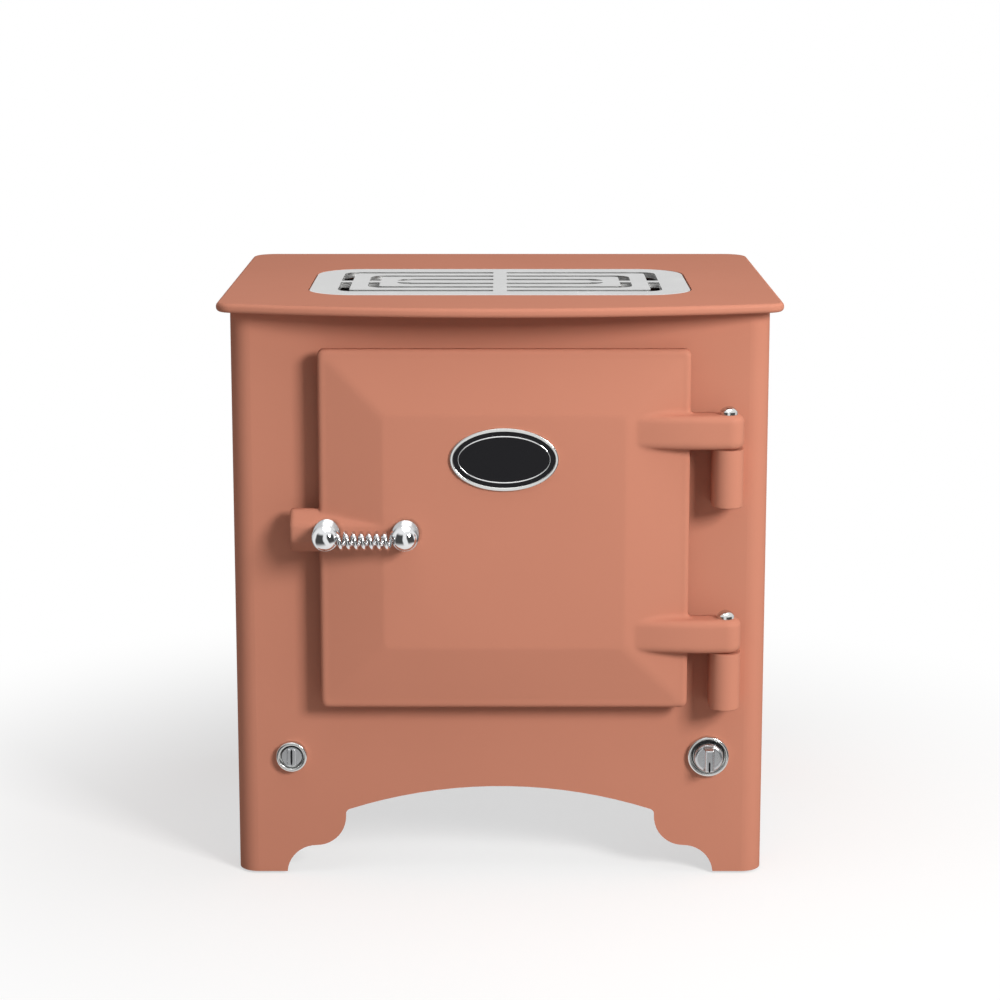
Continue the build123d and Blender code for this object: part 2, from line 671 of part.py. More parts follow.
with BuildPart() as door_panel:
    with BuildSketch(front(DOOR_BACK_E)):
        with Locations((OVEN_X, DOOR_Z)):
            RectangleRounded(DOOR_W, DOOR_H, DOOR_CORNER_R)
    extrude(amount=DOOR_EDGE_T)
    fillet(door_panel.faces().sort_by(Axis.Y)[0].edges(), DOOR_EDGE_R)
    with BuildSketch(front(DOOR_EDGE_E)):
        with Locations((OVEN_X, DOOR_Z)):
            RectangleRounded(DOOR_W - 2 * DOOR_EDGE_FLAT, DOOR_H - 2 * DOOR_EDGE_FLAT, DOOR_CORNER_R)
    with BuildSketch(front(FIELD_E)):
        with Locations((OVEN_X, DOOR_Z)):
            RectangleRounded(DOOR_W - 2 * FIELD_MARGIN, DOOR_H - 2 * FIELD_MARGIN, FIELD_R)
    loft()
    fillet(door_panel.faces().sort_by(Axis.Y)[0].edges(), FIELD_EDGE_R)
    add(catch_lug.part)
    bare_panel = door_panel.part
    arms = [Pos(0, 0, arm_z) * hinge_arm.part for arm_z in ARM_MID_Z]
    add(arms)
    fillet(shared_edges(door_panel.edges(), bare_panel, arms), ARM_ROOT_R)
    with BuildSketch(Plane.XY):
        with Locations((PIN_X, y_at(PIN_E))):
            Circle(PIN_R)
    extrude(amount=CASING_TOP_Z, mode=Mode.SUBTRACT)
    with BuildSketch(front(POST_SEAT_E)):
        with Locations(*[(x, DOOR_Z) for x in POST_X]):
            Circle(POST_R + POST_SEAT_GAP)
    extrude(amount=POST_STANDOUT, mode=Mode.SUBTRACT)
door_panel.part.label = "door_panel"
export_step(door_panel.part, "parts/door_panel.step")

# Hinge brackets on the casing, one under each arm, and the pins that drop through the arms into them
BRACKET_TOP_Z = [z - ARM_H / 2 - BRACKET_GAP for z in ARM_MID_Z]
for top_z, name in zip(BRACKET_TOP_Z, ("hinge_bracket_upper", "hinge_bracket_lower")):
    with BuildPart() as hinge_bracket:
        with BuildSketch(Plane.XY.offset(top_z - BRACKET_H)):
            with Locations((PIN_X, y_at(PIN_E))):
                Circle(KNUCKLE_R)
                Rectangle(2 * KNUCKLE_R, PIN_E, align=(Align.CENTER, Align.MIN))
        extrude(amount=BRACKET_H)
        fillet(hinge_bracket.faces().sort_by(Axis.Z)[0].edges().sort_by(Axis.Y)[:-1], BRACKET_EDGE_R)
        with BuildSketch(Plane.XY.offset(top_z)):
            with Locations((PIN_X, y_at(PIN_E))):
                Circle(PIN_R + PIN_PLAY)
        extrude(amount=-PIN_DEPTH - BRACKET_GAP, mode=Mode.SUBTRACT)
    hinge_bracket.part.label = name
    export_step(hinge_bracket.part, f"parts/{name}.step")

with BuildPart() as hinge_pins:
    for arm_z in ARM_MID_Z:
        head_z = arm_z + ARM_H / 2
        foot_z = arm_z - ARM_H / 2 - PIN_DEPTH
        with BuildSketch(front(PIN_E)):
            with BuildLine():
                Polyline(
                    (PIN_X, head_z + PIN_HEAD_H),
                    (PIN_X, foot_z),
                    (PIN_X + PIN_R, foot_z),
                    (PIN_X + PIN_R, head_z),
                    (PIN_X + PIN_HEAD_R, head_z),
                    (PIN_X + PIN_HEAD_R, head_z + PIN_HEAD_EDGE),
                )
                TangentArc(
                    (PIN_X, head_z + PIN_HEAD_H),
                    (PIN_X + PIN_HEAD_R, head_z + PIN_HEAD_EDGE),
                    tangent=(1, 0),
                )
            make_face()
        revolve(axis=Axis((PIN_X, y_at(PIN_E), 0), (0, 0, 1)))
hinge_pins.part.label = "hinge_pins"
export_step(hinge_pins.part, "parts/hinge_pins.step")

# Catch magnet: a dished steel cup on the back of the lug, close to the casing's face
MAGNET_X = DOOR_LEFT_X - LUG_OUT / 2
with BuildPart() as catch_magnet:
    with BuildSketch(front(MAGNET_GAP)):
        with Locations((MAGNET_X, DOOR_Z)):
            Circle(MAGNET_R)
    extrude(amount=DOOR_BACK_E - MAGNET_GAP)
    with BuildSketch(front(MAGNET_GAP)):
        with Locations((MAGNET_X, DOOR_Z)):
            Circle(MAGNET_R - MAGNET_LAND)
    extrude(amount=MAGNET_DISH, mode=Mode.SUBTRACT)
catch_magnet.part.label = "catch_magnet"
export_step(catch_magnet.part, "parts/catch_magnet.step")

# Handle: two domed posts and one open coil whose straight ends sit in the posts
COIL_E = FIELD_E + COIL_STANDOFF
COIL_Z = DOOR_Z - COIL_DROP
LEG_Z = COIL_Z + COIL_R
LEG_RUN = math.sqrt(POST_R ** 2 - (LEG_Z - DOOR_Z) ** 2)
LEG_END_X = (POST_X[0] + LEG_RUN - COIL_LEG_IN_POST, POST_X[1] - LEG_RUN + COIL_LEG_IN_POST)
COIL_X = (POST_X[0] + LEG_RUN + COIL_LEG, POST_X[1] - LEG_RUN - COIL_LEG)
with BuildPart() as handle_posts:
    with BuildSketch(front(POST_SEAT_E)):
        with Locations(*[(x, DOOR_Z) for x in POST_X]):
            Circle(POST_R)
    extrude(amount=POST_SEAT + POST_STANDOUT)
    fillet(handle_posts.faces().group_by(Axis.Y)[0].edges(), POST_DOME_R)
    with BuildSketch(Plane.YZ.offset(LEG_END_X[0])):
        with Locations((y_at(COIL_E), LEG_Z)):
            Circle(COIL_WIRE_R + COIL_HOLE_GAP)
    extrude(amount=LEG_END_X[1] - LEG_END_X[0], mode=Mode.SUBTRACT)
handle_posts.part.label = "handle_posts"
export_step(handle_posts.part, "parts/handle_posts.step")


def coil_point(turn):
    """Point of the coil's centre line after so many turns from the left end, starting at its top."""
    angle = 2 * math.pi * turn
    x = COIL_X[0] + (COIL_X[1] - COIL_X[0]) * turn / COIL_TURNS
    return Vector(x, y_at(COIL_E) - COIL_R * math.sin(angle), COIL_Z + COIL_R * math.cos(angle))


def coil_direction(turn):
    """Unit direction of the coil's centre line after so many turns."""
    angle = 2 * math.pi * turn
    rise = (COIL_X[1] - COIL_X[0]) / COIL_TURNS
    round_part = 2 * math.pi * COIL_R
    return Vector(rise, -round_part * math.cos(angle), -round_part * math.sin(angle)).normalized()


def biarc(start, start_direction, end, end_direction):
    """Two tangent arcs from start to end that leave and arrive in the given directions."""
    span = end - start
    both = start_direction + end_direction
    bend = 2 * (1 - start_direction.dot(end_direction))
    along = span.dot(both)
    reach = (math.sqrt(along ** 2 + bend * span.dot(span)) - along) / bend
    joint = (start + start_direction * reach + end - end_direction * reach) * 0.5
    first = TangentArc(start, joint, tangent=start_direction)
    return first, TangentArc(joint, end, tangent=first % 1)


X_DIRECTION = Vector(1, 0, 0)
LEG_ENDS = [Vector(x, y_at(COIL_E), LEG_Z) for x in LEG_END_X]
BEND_STARTS = [
    Vector(POST_X[0] + LEG_RUN, y_at(COIL_E), LEG_Z),
    Vector(POST_X[1] - LEG_RUN, y_at(COIL_E), LEG_Z),
]
QUARTER = 0.25
HALF_TURNS = 2 * COIL_TURNS - 1
with BuildPart() as handle_coil:
    with BuildLine() as coil_path:
        Line(LEG_ENDS[0], BEND_STARTS[0])
        biarc(BEND_STARTS[0], X_DIRECTION, coil_point(QUARTER), coil_direction(QUARTER))
        for half in range(HALF_TURNS):
            turn = QUARTER + half / 2
            biarc(coil_point(turn), coil_direction(turn), coil_point(turn + 0.5), coil_direction(turn + 0.5))
        turn = QUARTER + HALF_TURNS / 2
        biarc(coil_point(turn), coil_direction(turn), BEND_STARTS[1], X_DIRECTION)
        Line(BEND_STARTS[1], LEG_ENDS[1])
    with BuildSketch(Plane(origin=LEG_ENDS[0], z_dir=(1, 0, 0))):
        Circle(COIL_WIRE_R)
    sweep()
handle_coil.part.label = "handle_coil"
export_step(handle_coil.part, "parts/handle_coil.step")

coil_wire = coil_path.wire()
coil_steps = 60 * COIL_TURNS
coil_samples = [coil_wire @ (i / coil_steps) for i in range(coil_steps + 1)]
step_length = coil_wire.length / coil_steps
apart = math.ceil(math.pi * COIL_R / step_length)
coil_gap = min(
    (coil_samples[i] - coil_samples[j]).length
    for i in range(coil_steps)
    for j in range(i + apart, coil_steps)
)
print(f"handle coil: least gap to itself {coil_gap - 2 * COIL_WIRE_R:.2f} mm")

# Badge: a bare oval with a bright rim on the door's field
BADGE_Z = DOOR_Z + BADGE_RISE
with BuildPart() as badge_rim:
    with BuildSketch(front(FIELD_E)):
        with Locations((OVEN_X, BADGE_Z)):
            Ellipse(BADGE_W / 2, BADGE_H / 2)
            Ellipse(BADGE_W / 2 - BADGE_RIM, BADGE_H / 2 - BADGE_RIM, mode=Mode.SUBTRACT)
    extrude(amount=BADGE_RIM_T)
    fillet(badge_rim.faces().sort_by(Axis.Y)[0].edges(), BADGE_EDGE_R)
badge_rim.part.label = "badge_rim"
export_step(badge_rim.part, "parts/badge_rim.step")

with BuildPart() as badge_plate:
    with BuildSketch(front(FIELD_E)):
        with Locations((OVEN_X, BADGE_Z)):
            Ellipse(BADGE_W / 2 - BADGE_RIM, BADGE_H / 2 - BADGE_RIM)
    extrude(amount=BADGE_PLATE_T)
badge_plate.part.label = "badge_plate"
export_step(badge_plate.part, "parts/badge_plate.step")

# Door liner: a shallow stainless box that plugs the oven mouth, filled with insulation
STUD_SPAN_X = PLUG_W - 2 * STUD_INSET
STUD_SPAN_Z = PLUG_H - 2 * STUD_INSET
with BuildPart() as door_liner:
    with BuildSketch(front(-PLUG_REACH)):
        with Locations((OVEN_X, OVEN_Z)):
            RectangleRounded(PLUG_W, PLUG_H, PLUG_CORNER_R)
    extrude(amount=PLUG_REACH + DOOR_BACK_E)
    fillet(door_liner.faces().sort_by(Axis.Y)[-1].edges(), PLUG_EDGE_R)
    with BuildSketch(front(DOOR_BACK_E)):
        with Locations((OVEN_X, OVEN_Z)):
            RectangleRounded(PLUG_W + 2 * PLUG_FLANGE, PLUG_H + 2 * PLUG_FLANGE, PLUG_CORNER_R + PLUG_FLANGE)
    extrude(amount=-PLUG_SHEET)
    with BuildSketch(front(PLUG_SHEET - PLUG_REACH)):
        with Locations((OVEN_X, OVEN_Z)):
            RectangleRounded(PLUG_W - 2 * PLUG_SHEET, PLUG_H - 2 * PLUG_SHEET, PLUG_CORNER_R - PLUG_SHEET)
    extrude(amount=PLUG_REACH + DOOR_BACK_E, mode=Mode.SUBTRACT)
    with BuildSketch(front(-PLUG_REACH)):
        with Locations((OVEN_X, OVEN_Z)):
            with GridLocations(STUD_SPAN_X, STUD_SPAN_Z, 2, 2):
                Circle(STUD_R + STUD_GAP)
    extrude(amount=PLUG_SHEET, mode=Mode.SUBTRACT)
door_liner.part.label = "door_liner"
export_step(door_liner.part, "parts/door_liner.step")

with BuildPart() as door_insulation:
    with BuildSketch(front(PLUG_SHEET - PLUG_REACH)):
        with Locations((OVEN_X, OVEN_Z)):
            RectangleRounded(PLUG_W - 2 * PLUG_SHEET, PLUG_H - 2 * PLUG_SHEET, PLUG_CORNER_R - PLUG_SHEET)
            with GridLocations(STUD_SPAN_X, STUD_SPAN_Z, 2, 2):
                Circle(STUD_R + STUD_GAP, mode=Mode.SUBTRACT)
    extrude(amount=PLUG_REACH - PLUG_SHEET + DOOR_BACK_E)
door_insulation.part.label = "door_insulation"
export_step(door_insulation.part, "parts/door_insulation.step")

with BuildPart() as liner_studs:
    with BuildSketch(front(DOOR_BACK_E)):
        with Locations((OVEN_X, OVEN_Z)):
            with GridLocations(STUD_SPAN_X, STUD_SPAN_Z, 2, 2):
                Circle(STUD_R)
    extrude(amount=-DOOR_BACK_E - PLUG_REACH - STUD_PROUD)
    chamfer(liner_studs.faces().group_by(Axis.Y)[-1].edges(), STUD_TIP)
liner_studs.part.label = "liner_studs"
export_step(liner_studs.part, "parts/liner_studs.step")

with BuildPart() as liner_nuts:
    with BuildSketch(front(-PLUG_REACH)):
        with Locations((OVEN_X, OVEN_Z)):
            with GridLocations(STUD_SPAN_X, STUD_SPAN_Z, 2, 2):
                RegularPolygon(NUT_R, 6)
                Circle(STUD_R, mode=Mode.SUBTRACT)
    extrude(amount=-NUT_T)
liner_nuts.part.label = "liner_nuts"
export_step(liner_nuts.part, "parts/liner_nuts.step")

# Rope seal on the door, round the liner, opposite the raised border
SEAL_R = (DOOR_BACK_E - SEAT_PROUD - SEAL_GAP) / 2
SEAL_E = DOOR_BACK_E - SEAL_R
with BuildPart() as rope_seal:
    with BuildLine(front(SEAL_E)) as seal_path:
        half_w = OVEN_W / 2 + SEAT_BORDER / 2
        half_h = OVEN_H / 2 + SEAT_BORDER / 2
        FilletPolyline(
            (OVEN_X + half_w, OVEN_Z + half_h),
            (OVEN_X + half_w, OVEN_Z - half_h),
            (OVEN_X - half_w, OVEN_Z - half_h),
            (OVEN_X - half_w, OVEN_Z + half_h),
            radius=SEAL_CORNER_R,
            close=True,
        )
    with BuildSketch(Plane(origin=seal_path.line @ 0, z_dir=seal_path.line % 0)):
        Circle(SEAL_R)
    sweep()
rope_seal.part.label = "rope_seal"
export_step(rope_seal.part, "parts/rope_seal.step")

# Controls: a switch behind the casing, a bezel on it, and what the hand turns on a spindle between them
def switch_body(x):
    """Switch housing behind the casing's face at x, with its bush and the bore its spindle runs in."""
    with BuildPart() as body:
        with BuildSketch(front(-SHEET)):
            with Locations((x, CONTROL_Z)):
                Rectangle(SWITCH_BOX, SWITCH_BOX)
        extrude(amount=-SWITCH_DEPTH)
        with BuildSketch(front(-SHEET)):
            with Locations((x, CONTROL_Z)):
                Circle(BUSH_R)
        extrude(amount=BUSH_LENGTH)
        with BuildSketch(front(BUSH_LENGTH)):
            with Locations((x, CONTROL_Z)):
                Circle(SPINDLE_R + SPINDLE_PLAY)
        extrude(amount=-BUSH_LENGTH - SHEET - SPINDLE_IN_BOX - SPINDLE_END_GAP, mode=Mode.SUBTRACT)
    return body.part


def bezel(x, radius, wall, height):
    """Dished ring on the casing's face at x, with a thin floor that the switch's bush passes through."""
    with BuildPart() as ring:
        with BuildSketch(front(0)):
            with Locations((x, CONTROL_Z)):
                Circle(radius)
        extrude(amount=height)
        with BuildSketch(front(BEZEL_FLOOR)):
            with Locations((x, CONTROL_Z)):
                Circle(radius - wall)
        extrude(amount=height, mode=Mode.SUBTRACT)
        fillet(ring.faces().sort_by(Axis.Y)[0].edges(), BEZEL_EDGE_R)
        with BuildSketch(front(0)):
            with Locations((x, CONTROL_Z)):
                Circle(BUSH_R + BUSH_HOLE_GAP)
        extrude(amount=BEZEL_FLOOR, mode=Mode.SUBTRACT)
    return ring.part


def spindle(x, knob_e):
    """Spindle from inside the knob, whose back is at knob_e, to inside the switch housing."""
    with BuildPart() as rod:
        with BuildSketch(front(knob_e + SPINDLE_IN_KNOB)):
            with Locations((x, CONTROL_Z)):
                Circle(SPINDLE_R)
        extrude(amount=-knob_e - SPINDLE_IN_KNOB - SHEET - SPINDLE_IN_BOX)
    return rod.part


KNOB_X = CONTROL_X
BUTTON_X = -CONTROL_X
KNOB_E = BEZEL_FLOOR + KNOB_FLOAT
BUTTON_E = BEZEL_FLOOR + BUTTON_FLOAT
KNOB_R = KNOB_BEZEL_R - KNOB_BEZEL_WALL - KNOB_GAP
BUTTON_R = BUTTON_BEZEL_R - BUTTON_BEZEL_WALL - BUTTON_GAP

with BuildPart() as thermostat:
    add(switch_body(KNOB_X))
thermostat.part.label = "thermostat"
export_step(thermostat.part, "parts/thermostat.step")

with BuildPart() as selector_switch:
    add(switch_body(BUTTON_X))
selector_switch.part.label = "selector_switch"
export_step(selector_switch.part, "parts/selector_switch.step")

with BuildPart() as knob_bezel:
    add(bezel(KNOB_X, KNOB_BEZEL_R, KNOB_BEZEL_WALL, KNOB_BEZEL_H))
knob_bezel.part.label = "knob_bezel"
export_step(knob_bezel.part, "parts/knob_bezel.step")

with BuildPart() as button_bezel:
    add(bezel(BUTTON_X, BUTTON_BEZEL_R, BUTTON_BEZEL_WALL, BUTTON_BEZEL_H))
button_bezel.part.label = "button_bezel"
export_step(button_bezel.part, "parts/button_bezel.step")

with BuildPart() as thermostat_spindle:
    add(spindle(KNOB_X, KNOB_E))
thermostat_spindle.part.label = "thermostat_spindle"
export_step(thermostat_spindle.part, "parts/thermostat_spindle.step")

with BuildPart() as selector_spindle:
    add(spindle(BUTTON_X, BUTTON_E))
selector_spindle.part.label = "selector_spindle"
export_step(selector_spindle.part, "parts/selector_spindle.step")

# Thermostat knob: a round skirt with a tapered grip across it and a pointer line at the grip's lower end
KNOB_FACE_E = KNOB_E + KNOB_SKIRT_H
GRIP_FACE_E = KNOB_FACE_E + KNOB_GRIP_H
GRIP_L = 2 * math.sqrt(KNOB_R ** 2 - (KNOB_GRIP_W / 2) ** 2)
with BuildPart() as thermostat_knob:
    with BuildSketch(front(KNOB_E)):
        with Locations((KNOB_X, CONTROL_Z)):
            Circle(KNOB_R)
    extrude(amount=KNOB_SKIRT_H)
    fillet(thermostat_knob.faces().sort_by(Axis.Y)[0].edges(), KNOB_SKIRT_EDGE_R)
    with BuildSketch(front(KNOB_FACE_E - KNOB_SKIRT_EDGE_R)):
        with Locations((KNOB_X, CONTROL_Z)):
            RectangleRounded(KNOB_GRIP_W, GRIP_L, KNOB_GRIP_R)
    extrude(amount=KNOB_SKIRT_EDGE_R + KNOB_GRIP_H, taper=KNOB_GRIP_TAPER)
    fillet(thermostat_knob.faces().sort_by(Axis.Y)[0].edges(), KNOB_GRIP_EDGE_R)
    with BuildSketch(front(GRIP_FACE_E - KNOB_LINE_D)):
        with Locations((KNOB_X, CONTROL_Z)):
            Rectangle(KNOB_LINE_W, KNOB_R, align=(Align.CENTER, Align.MAX))
    extrude(amount=KNOB_GRIP_H, mode=Mode.SUBTRACT)
    with BuildSketch(front(KNOB_E)):
        with Locations((KNOB_X, CONTROL_Z)):
            Circle(SPINDLE_R)
    extrude(amount=SPINDLE_IN_KNOB, mode=Mode.SUBTRACT)
thermostat_knob.part.label = "thermostat_knob"
export_step(thermostat_knob.part, "parts/thermostat_knob.step")

# Selector button: a disc sunk in its bezel, with a low grip and a line along it
BUTTON_FACE_E = BUTTON_E + BUTTON_T
BUTTON_GRIP_E = BUTTON_FACE_E + BUTTON_GRIP_H
BUTTON_GRIP_L = 2 * math.sqrt(BUTTON_R ** 2 - (BUTTON_GRIP_W / 2) ** 2)
with BuildPart() as selector_button:
    with BuildSketch(front(BUTTON_E)):
        with Locations((BUTTON_X, CONTROL_Z)):
            Circle(BUTTON_R)
    extrude(amount=BUTTON_T)
    with BuildSketch(front(BUTTON_FACE_E)):
        with Locations((BUTTON_X, CONTROL_Z)):
            RectangleRounded(BUTTON_GRIP_W, BUTTON_GRIP_L, BUTTON_GRIP_R)
    extrude(amount=BUTTON_GRIP_H)
    fillet(selector_button.faces().sort_by(Axis.Y)[0].edges(), BUTTON_GRIP_EDGE_R)
    with BuildSketch(front(BUTTON_GRIP_E - BUTTON_LINE_D)):
        with Locations((BUTTON_X, CONTROL_Z)):
            Rectangle(BUTTON_LINE_W, 2 * BUTTON_R)
    extrude(amount=BUTTON_GRIP_H, mode=Mode.SUBTRACT)
    with BuildSketch(front(BUTTON_E)):
        with Locations((BUTTON_X, CONTROL_Z)):
            Circle(SPINDLE_R)
    extrude(amount=SPINDLE_IN_KNOB, mode=Mode.SUBTRACT)
selector_button.part.label = "selector_button"
export_step(selector_button.part, "parts/selector_button.step")

# Back panel: two rows of vent slots, a hole for the cable bush, screwed to the casing's rear flanges
with BuildPart() as back_panel:
    with BuildSketch(front(-CASING_D)):
        with Locations((0, PAN_Z)):
            Rectangle(
                CASING_W - 2 * BACK_INSET,
                CASING_TOP_Z - BACK_INSET - PAN_Z,
                align=(Align.CENTER, Align.MIN),
            )
        with Locations((0, CASING_TOP_Z - VENT_FROM_TOP), (0, PAN_Z + VENT_FROM_PAN)):
            with GridLocations(VENT_PITCH, 1, VENT_COUNT, 1):
                SlotOverall(VENT_L, VENT_W, rotation=90, mode=Mode.SUBTRACT)
        with Locations((CABLE_X, PAN_Z + CABLE_OVER_PAN)):
            Circle(CABLE_BUSH_R, mode=Mode.SUBTRACT)
        with Locations(*BACK_SCREWS):
            Circle(BACK_SCREW_R + BACK_SCREW_GAP, mode=Mode.SUBTRACT)
    extrude(amount=-BACK_SHEET)
back_panel.part.label = "back_panel"
export_step(back_panel.part, "parts/back_panel.step")

with BuildPart() as back_screws:
    with BuildSketch(front(BACK_E)):
        with Locations(*BACK_SCREWS):
            Circle(BACK_SCREW_HEAD_R)
    extrude(amount=-BACK_SCREW_HEAD_H)
    fillet(back_screws.faces().group_by(Axis.Y)[-1].edges(), BACK_SCREW_HEAD_EDGE_R)
    with BuildSketch(front(BACK_E)):
        with Locations(*BACK_SCREWS):
            Circle(BACK_SCREW_R)
    extrude(amount=BACK_SCREW_LENGTH)
back_screws.part.label = "back_screws"
export_step(back_screws.part, "parts/back_screws.step")

# Cable bush: a grooved rubber ring that grips the edge of its hole
with BuildPart() as cable_bush:
    for start_e, thickness, radius in (
        (BACK_E, -CABLE_BUSH_T, CABLE_BUSH_R + CABLE_BUSH_RIM),
        (BACK_E, BACK_SHEET, CABLE_BUSH_R),
        (-CASING_D, CABLE_BUSH_T, CABLE_BUSH_R + CABLE_BUSH_RIM),
    ):
        with BuildSketch(front(start_e)):
            with Locations((CABLE_X, PAN_Z + CABLE_OVER_PAN)):
                Circle(radius)
                Circle(CABLE_BORE_R, mode=Mode.SUBTRACT)
        extrude(amount=thickness)
cable_bush.part.label = "cable_bush"
export_step(cable_bush.part, "parts/cable_bush.step")

# Legs: a gusset in each corner carries a levelling foot
LEVEL_MID_Y = y_at(-CASING_D / 2)
LEVEL_PITCH_X = CASING_W - 2 * SHEET - 2 * LEVEL_INSET
LEVEL_PITCH_Y = CASING_D - 2 * SHEET - 2 * LEVEL_INSET
with BuildPart() as leg_gussets:
    with BuildSketch(Plane.XY.offset(GUSSET_Z)):
        add(casing_outline(SHEET))
        with Locations((0, LEVEL_MID_Y)):
            Rectangle(CASING_W - 2 * SHEET - 2 * GUSSET_L, CASING_D, mode=Mode.SUBTRACT)
            Rectangle(CASING_W, CASING_D - 2 * SHEET - 2 * GUSSET_L, mode=Mode.SUBTRACT)
            with GridLocations(LEVEL_PITCH_X, LEVEL_PITCH_Y, 2, 2):
                Circle(LEVEL_STUD_R, mode=Mode.SUBTRACT)
    extrude(amount=GUSSET_T)
leg_gussets.part.label = "leg_gussets"
export_step(leg_gussets.part, "parts/leg_gussets.step")

with BuildPart() as levelling_feet:
    with BuildSketch():
        with Locations((0, LEVEL_MID_Y)):
            with GridLocations(LEVEL_PITCH_X, LEVEL_PITCH_Y, 2, 2):
                Circle(LEVEL_PAD_R)
    extrude(amount=LEVEL_PAD_T)
    fillet(levelling_feet.faces().group_by(Axis.Z)[-1].edges(), LEVEL_PAD_EDGE_R)
    with BuildSketch(Plane.XY.offset(LEVEL_PAD_T)):
        with Locations((0, LEVEL_MID_Y)):
            with GridLocations(LEVEL_PITCH_X, LEVEL_PITCH_Y, 2, 2):
                Circle(LEVEL_STUD_R)
    extrude(amount=GUSSET_Z + GUSSET_T + LEVEL_STUD_PROUD - LEVEL_PAD_T)
levelling_feet.part.label = "levelling_feet"
export_step(levelling_feet.part, "parts/levelling_feet.step")

# Oven element: a rod heater looped close under the oven's floor, its ends at the back panel
OVEN_ELEMENT_Z = LINER_BASE_Z - TOUCH_GAP - OVEN_ELEMENT_R
with BuildPart() as oven_element:
    with BuildLine(Plane.XY.offset(OVEN_ELEMENT_Z)) as element_path:
        FilletPolyline(
            (OVEN_X - OVEN_ELEMENT_LEFT, y_at(-CASING_D)),
            (OVEN_X - OVEN_ELEMENT_LEFT, y_at(-OVEN_ELEMENT_FRONT)),
            (OVEN_X + OVEN_ELEMENT_RIGHT, y_at(-OVEN_ELEMENT_FRONT)),
            (OVEN_X + OVEN_ELEMENT_RIGHT, y_at(-CASING_D)),
            radius=OVEN_ELEMENT_BEND,
        )
    with BuildSketch(Plane(origin=element_path.line @ 0, z_dir=(0, -1, 0))):
        Circle(OVEN_ELEMENT_R)
    sweep()
oven_element.part.label = "oven_element"
export_step(oven_element.part, "parts/oven_element.step")

# Heater element: a rod heater in hairpins under the grille, on two rests
REST_H = TRAY_LIP - TRAY_SHEET + HEATER_OVER_LIP
HEATER_Z = DEFLECTOR_TOP_Z + REST_H + TOUCH_GAP + HEATER_R
HEATER_FRONT_E = -GRILLE_SETBACK - HEATER_INSET
HEATER_BACK_E = -GRILLE_SETBACK - GRILLE_D + HEATER_INSET
HEATER_HALF_SPAN = HEATER_PITCH * (2 * HEATER_HAIRPINS - 1) / 2
heater_points = []
for hairpin in range(HEATER_HAIRPINS):
    near_x = 2 * hairpin * HEATER_PITCH - HEATER_HALF_SPAN
    rear_ends = (-CASING_D if hairpin == 0 else HEATER_BACK_E,
                 -CASING_D if hairpin == HEATER_HAIRPINS - 1 else HEATER_BACK_E)
    heater_points += [
        (near_x, y_at(rear_ends[0])),
        (near_x, y_at(HEATER_FRONT_E)),
        (near_x + HEATER_PITCH, y_at(HEATER_FRONT_E)),
        (near_x + HEATER_PITCH, y_at(rear_ends[1])),
    ]
with BuildPart() as heater_element:
    with BuildLine(Plane.XY.offset(HEATER_Z)) as heater_path:
        FilletPolyline(*heater_points, radius=HEATER_PITCH / 2 - HEATER_BEND_FLAT)
    with BuildSketch(Plane(origin=heater_path.line @ 0, z_dir=(0, -1, 0))):
        Circle(HEATER_R)
    sweep()
heater_element.part.label = "heater_element"
export_step(heater_element.part, "parts/heater_element.step")

with BuildPart() as heater_rests:
    with BuildSketch(Plane.XY.offset(DEFLECTOR_TOP_Z)):
        with Locations((0, GRILLE_Y)):
            with GridLocations(1, 2 * REST_FROM_MIDDLE, 1, 2):
                Rectangle(2 * HEATER_HALF_SPAN + 2 * REST_OVERHANG, REST_W)
    extrude(amount=REST_H)
heater_rests.part.label = "heater_rests"
export_step(heater_rests.part, "parts/heater_rests.step")

# Thermostat sensor: a bulb under the oven's floor and the capillary tube that joins it to the thermostat
SENSOR_Z = LINER_BASE_Z - TOUCH_GAP - SENSOR_R
SENSOR_END_X = SENSOR_X + SENSOR_L
CAPILLARY_END_Z = CONTROL_Z + CAPILLARY_END_LIFT
with BuildPart() as thermostat_sensor:
    with BuildSketch(Plane.YZ.offset(SENSOR_X)):
        with Locations((y_at(-SENSOR_BACK), SENSOR_Z)):
            Circle(SENSOR_R)
    extrude(amount=SENSOR_L)
    with BuildLine() as capillary_path:
        FilletPolyline(
            (SENSOR_END_X, y_at(-SENSOR_BACK), SENSOR_Z),
            (CAPILLARY_X, y_at(-SENSOR_BACK), SENSOR_Z),
            (CAPILLARY_X, y_at(-SENSOR_BACK), CAPILLARY_END_Z),
            (CAPILLARY_X, y_at(-SHEET - SWITCH_DEPTH), CAPILLARY_END_Z),
            radius=CAPILLARY_BEND,
        )
    with BuildSketch(Plane(origin=capillary_path.line @ 0, z_dir=(1, 0, 0))):
        Circle(CAPILLARY_R)
    sweep()
thermostat_sensor.part.label = "thermostat_sensor"
export_step(thermostat_sensor.part, "parts/thermostat_sensor.step")

# Terminal block on the base pan, near the cable bush
with BuildPart() as terminal_block:
    with BuildSketch(Plane.XY.offset(PAN_TOP_Z)):
        with Locations((CABLE_X, y_at(TERMINAL_FROM_BACK - CASING_D))):
            Rectangle(TERMINAL_W, TERMINAL_D)
    extrude(amount=TERMINAL_H)
    with BuildSketch(Plane.XY.offset(PAN_TOP_Z + TERMINAL_H)):
        with Locations((CABLE_X, y_at(TERMINAL_FROM_BACK - CASING_D))):
            with GridLocations(TERMINAL_W / TERMINAL_WAYS, 1, TERMINAL_WAYS, 1):
                Circle(TERMINAL_WELL_R)
    extrude(amount=-TERMINAL_WELL_DEPTH, mode=Mode.SUBTRACT)
terminal_block.part.label = "terminal_block"
export_step(terminal_block.part, "parts/terminal_block.step")
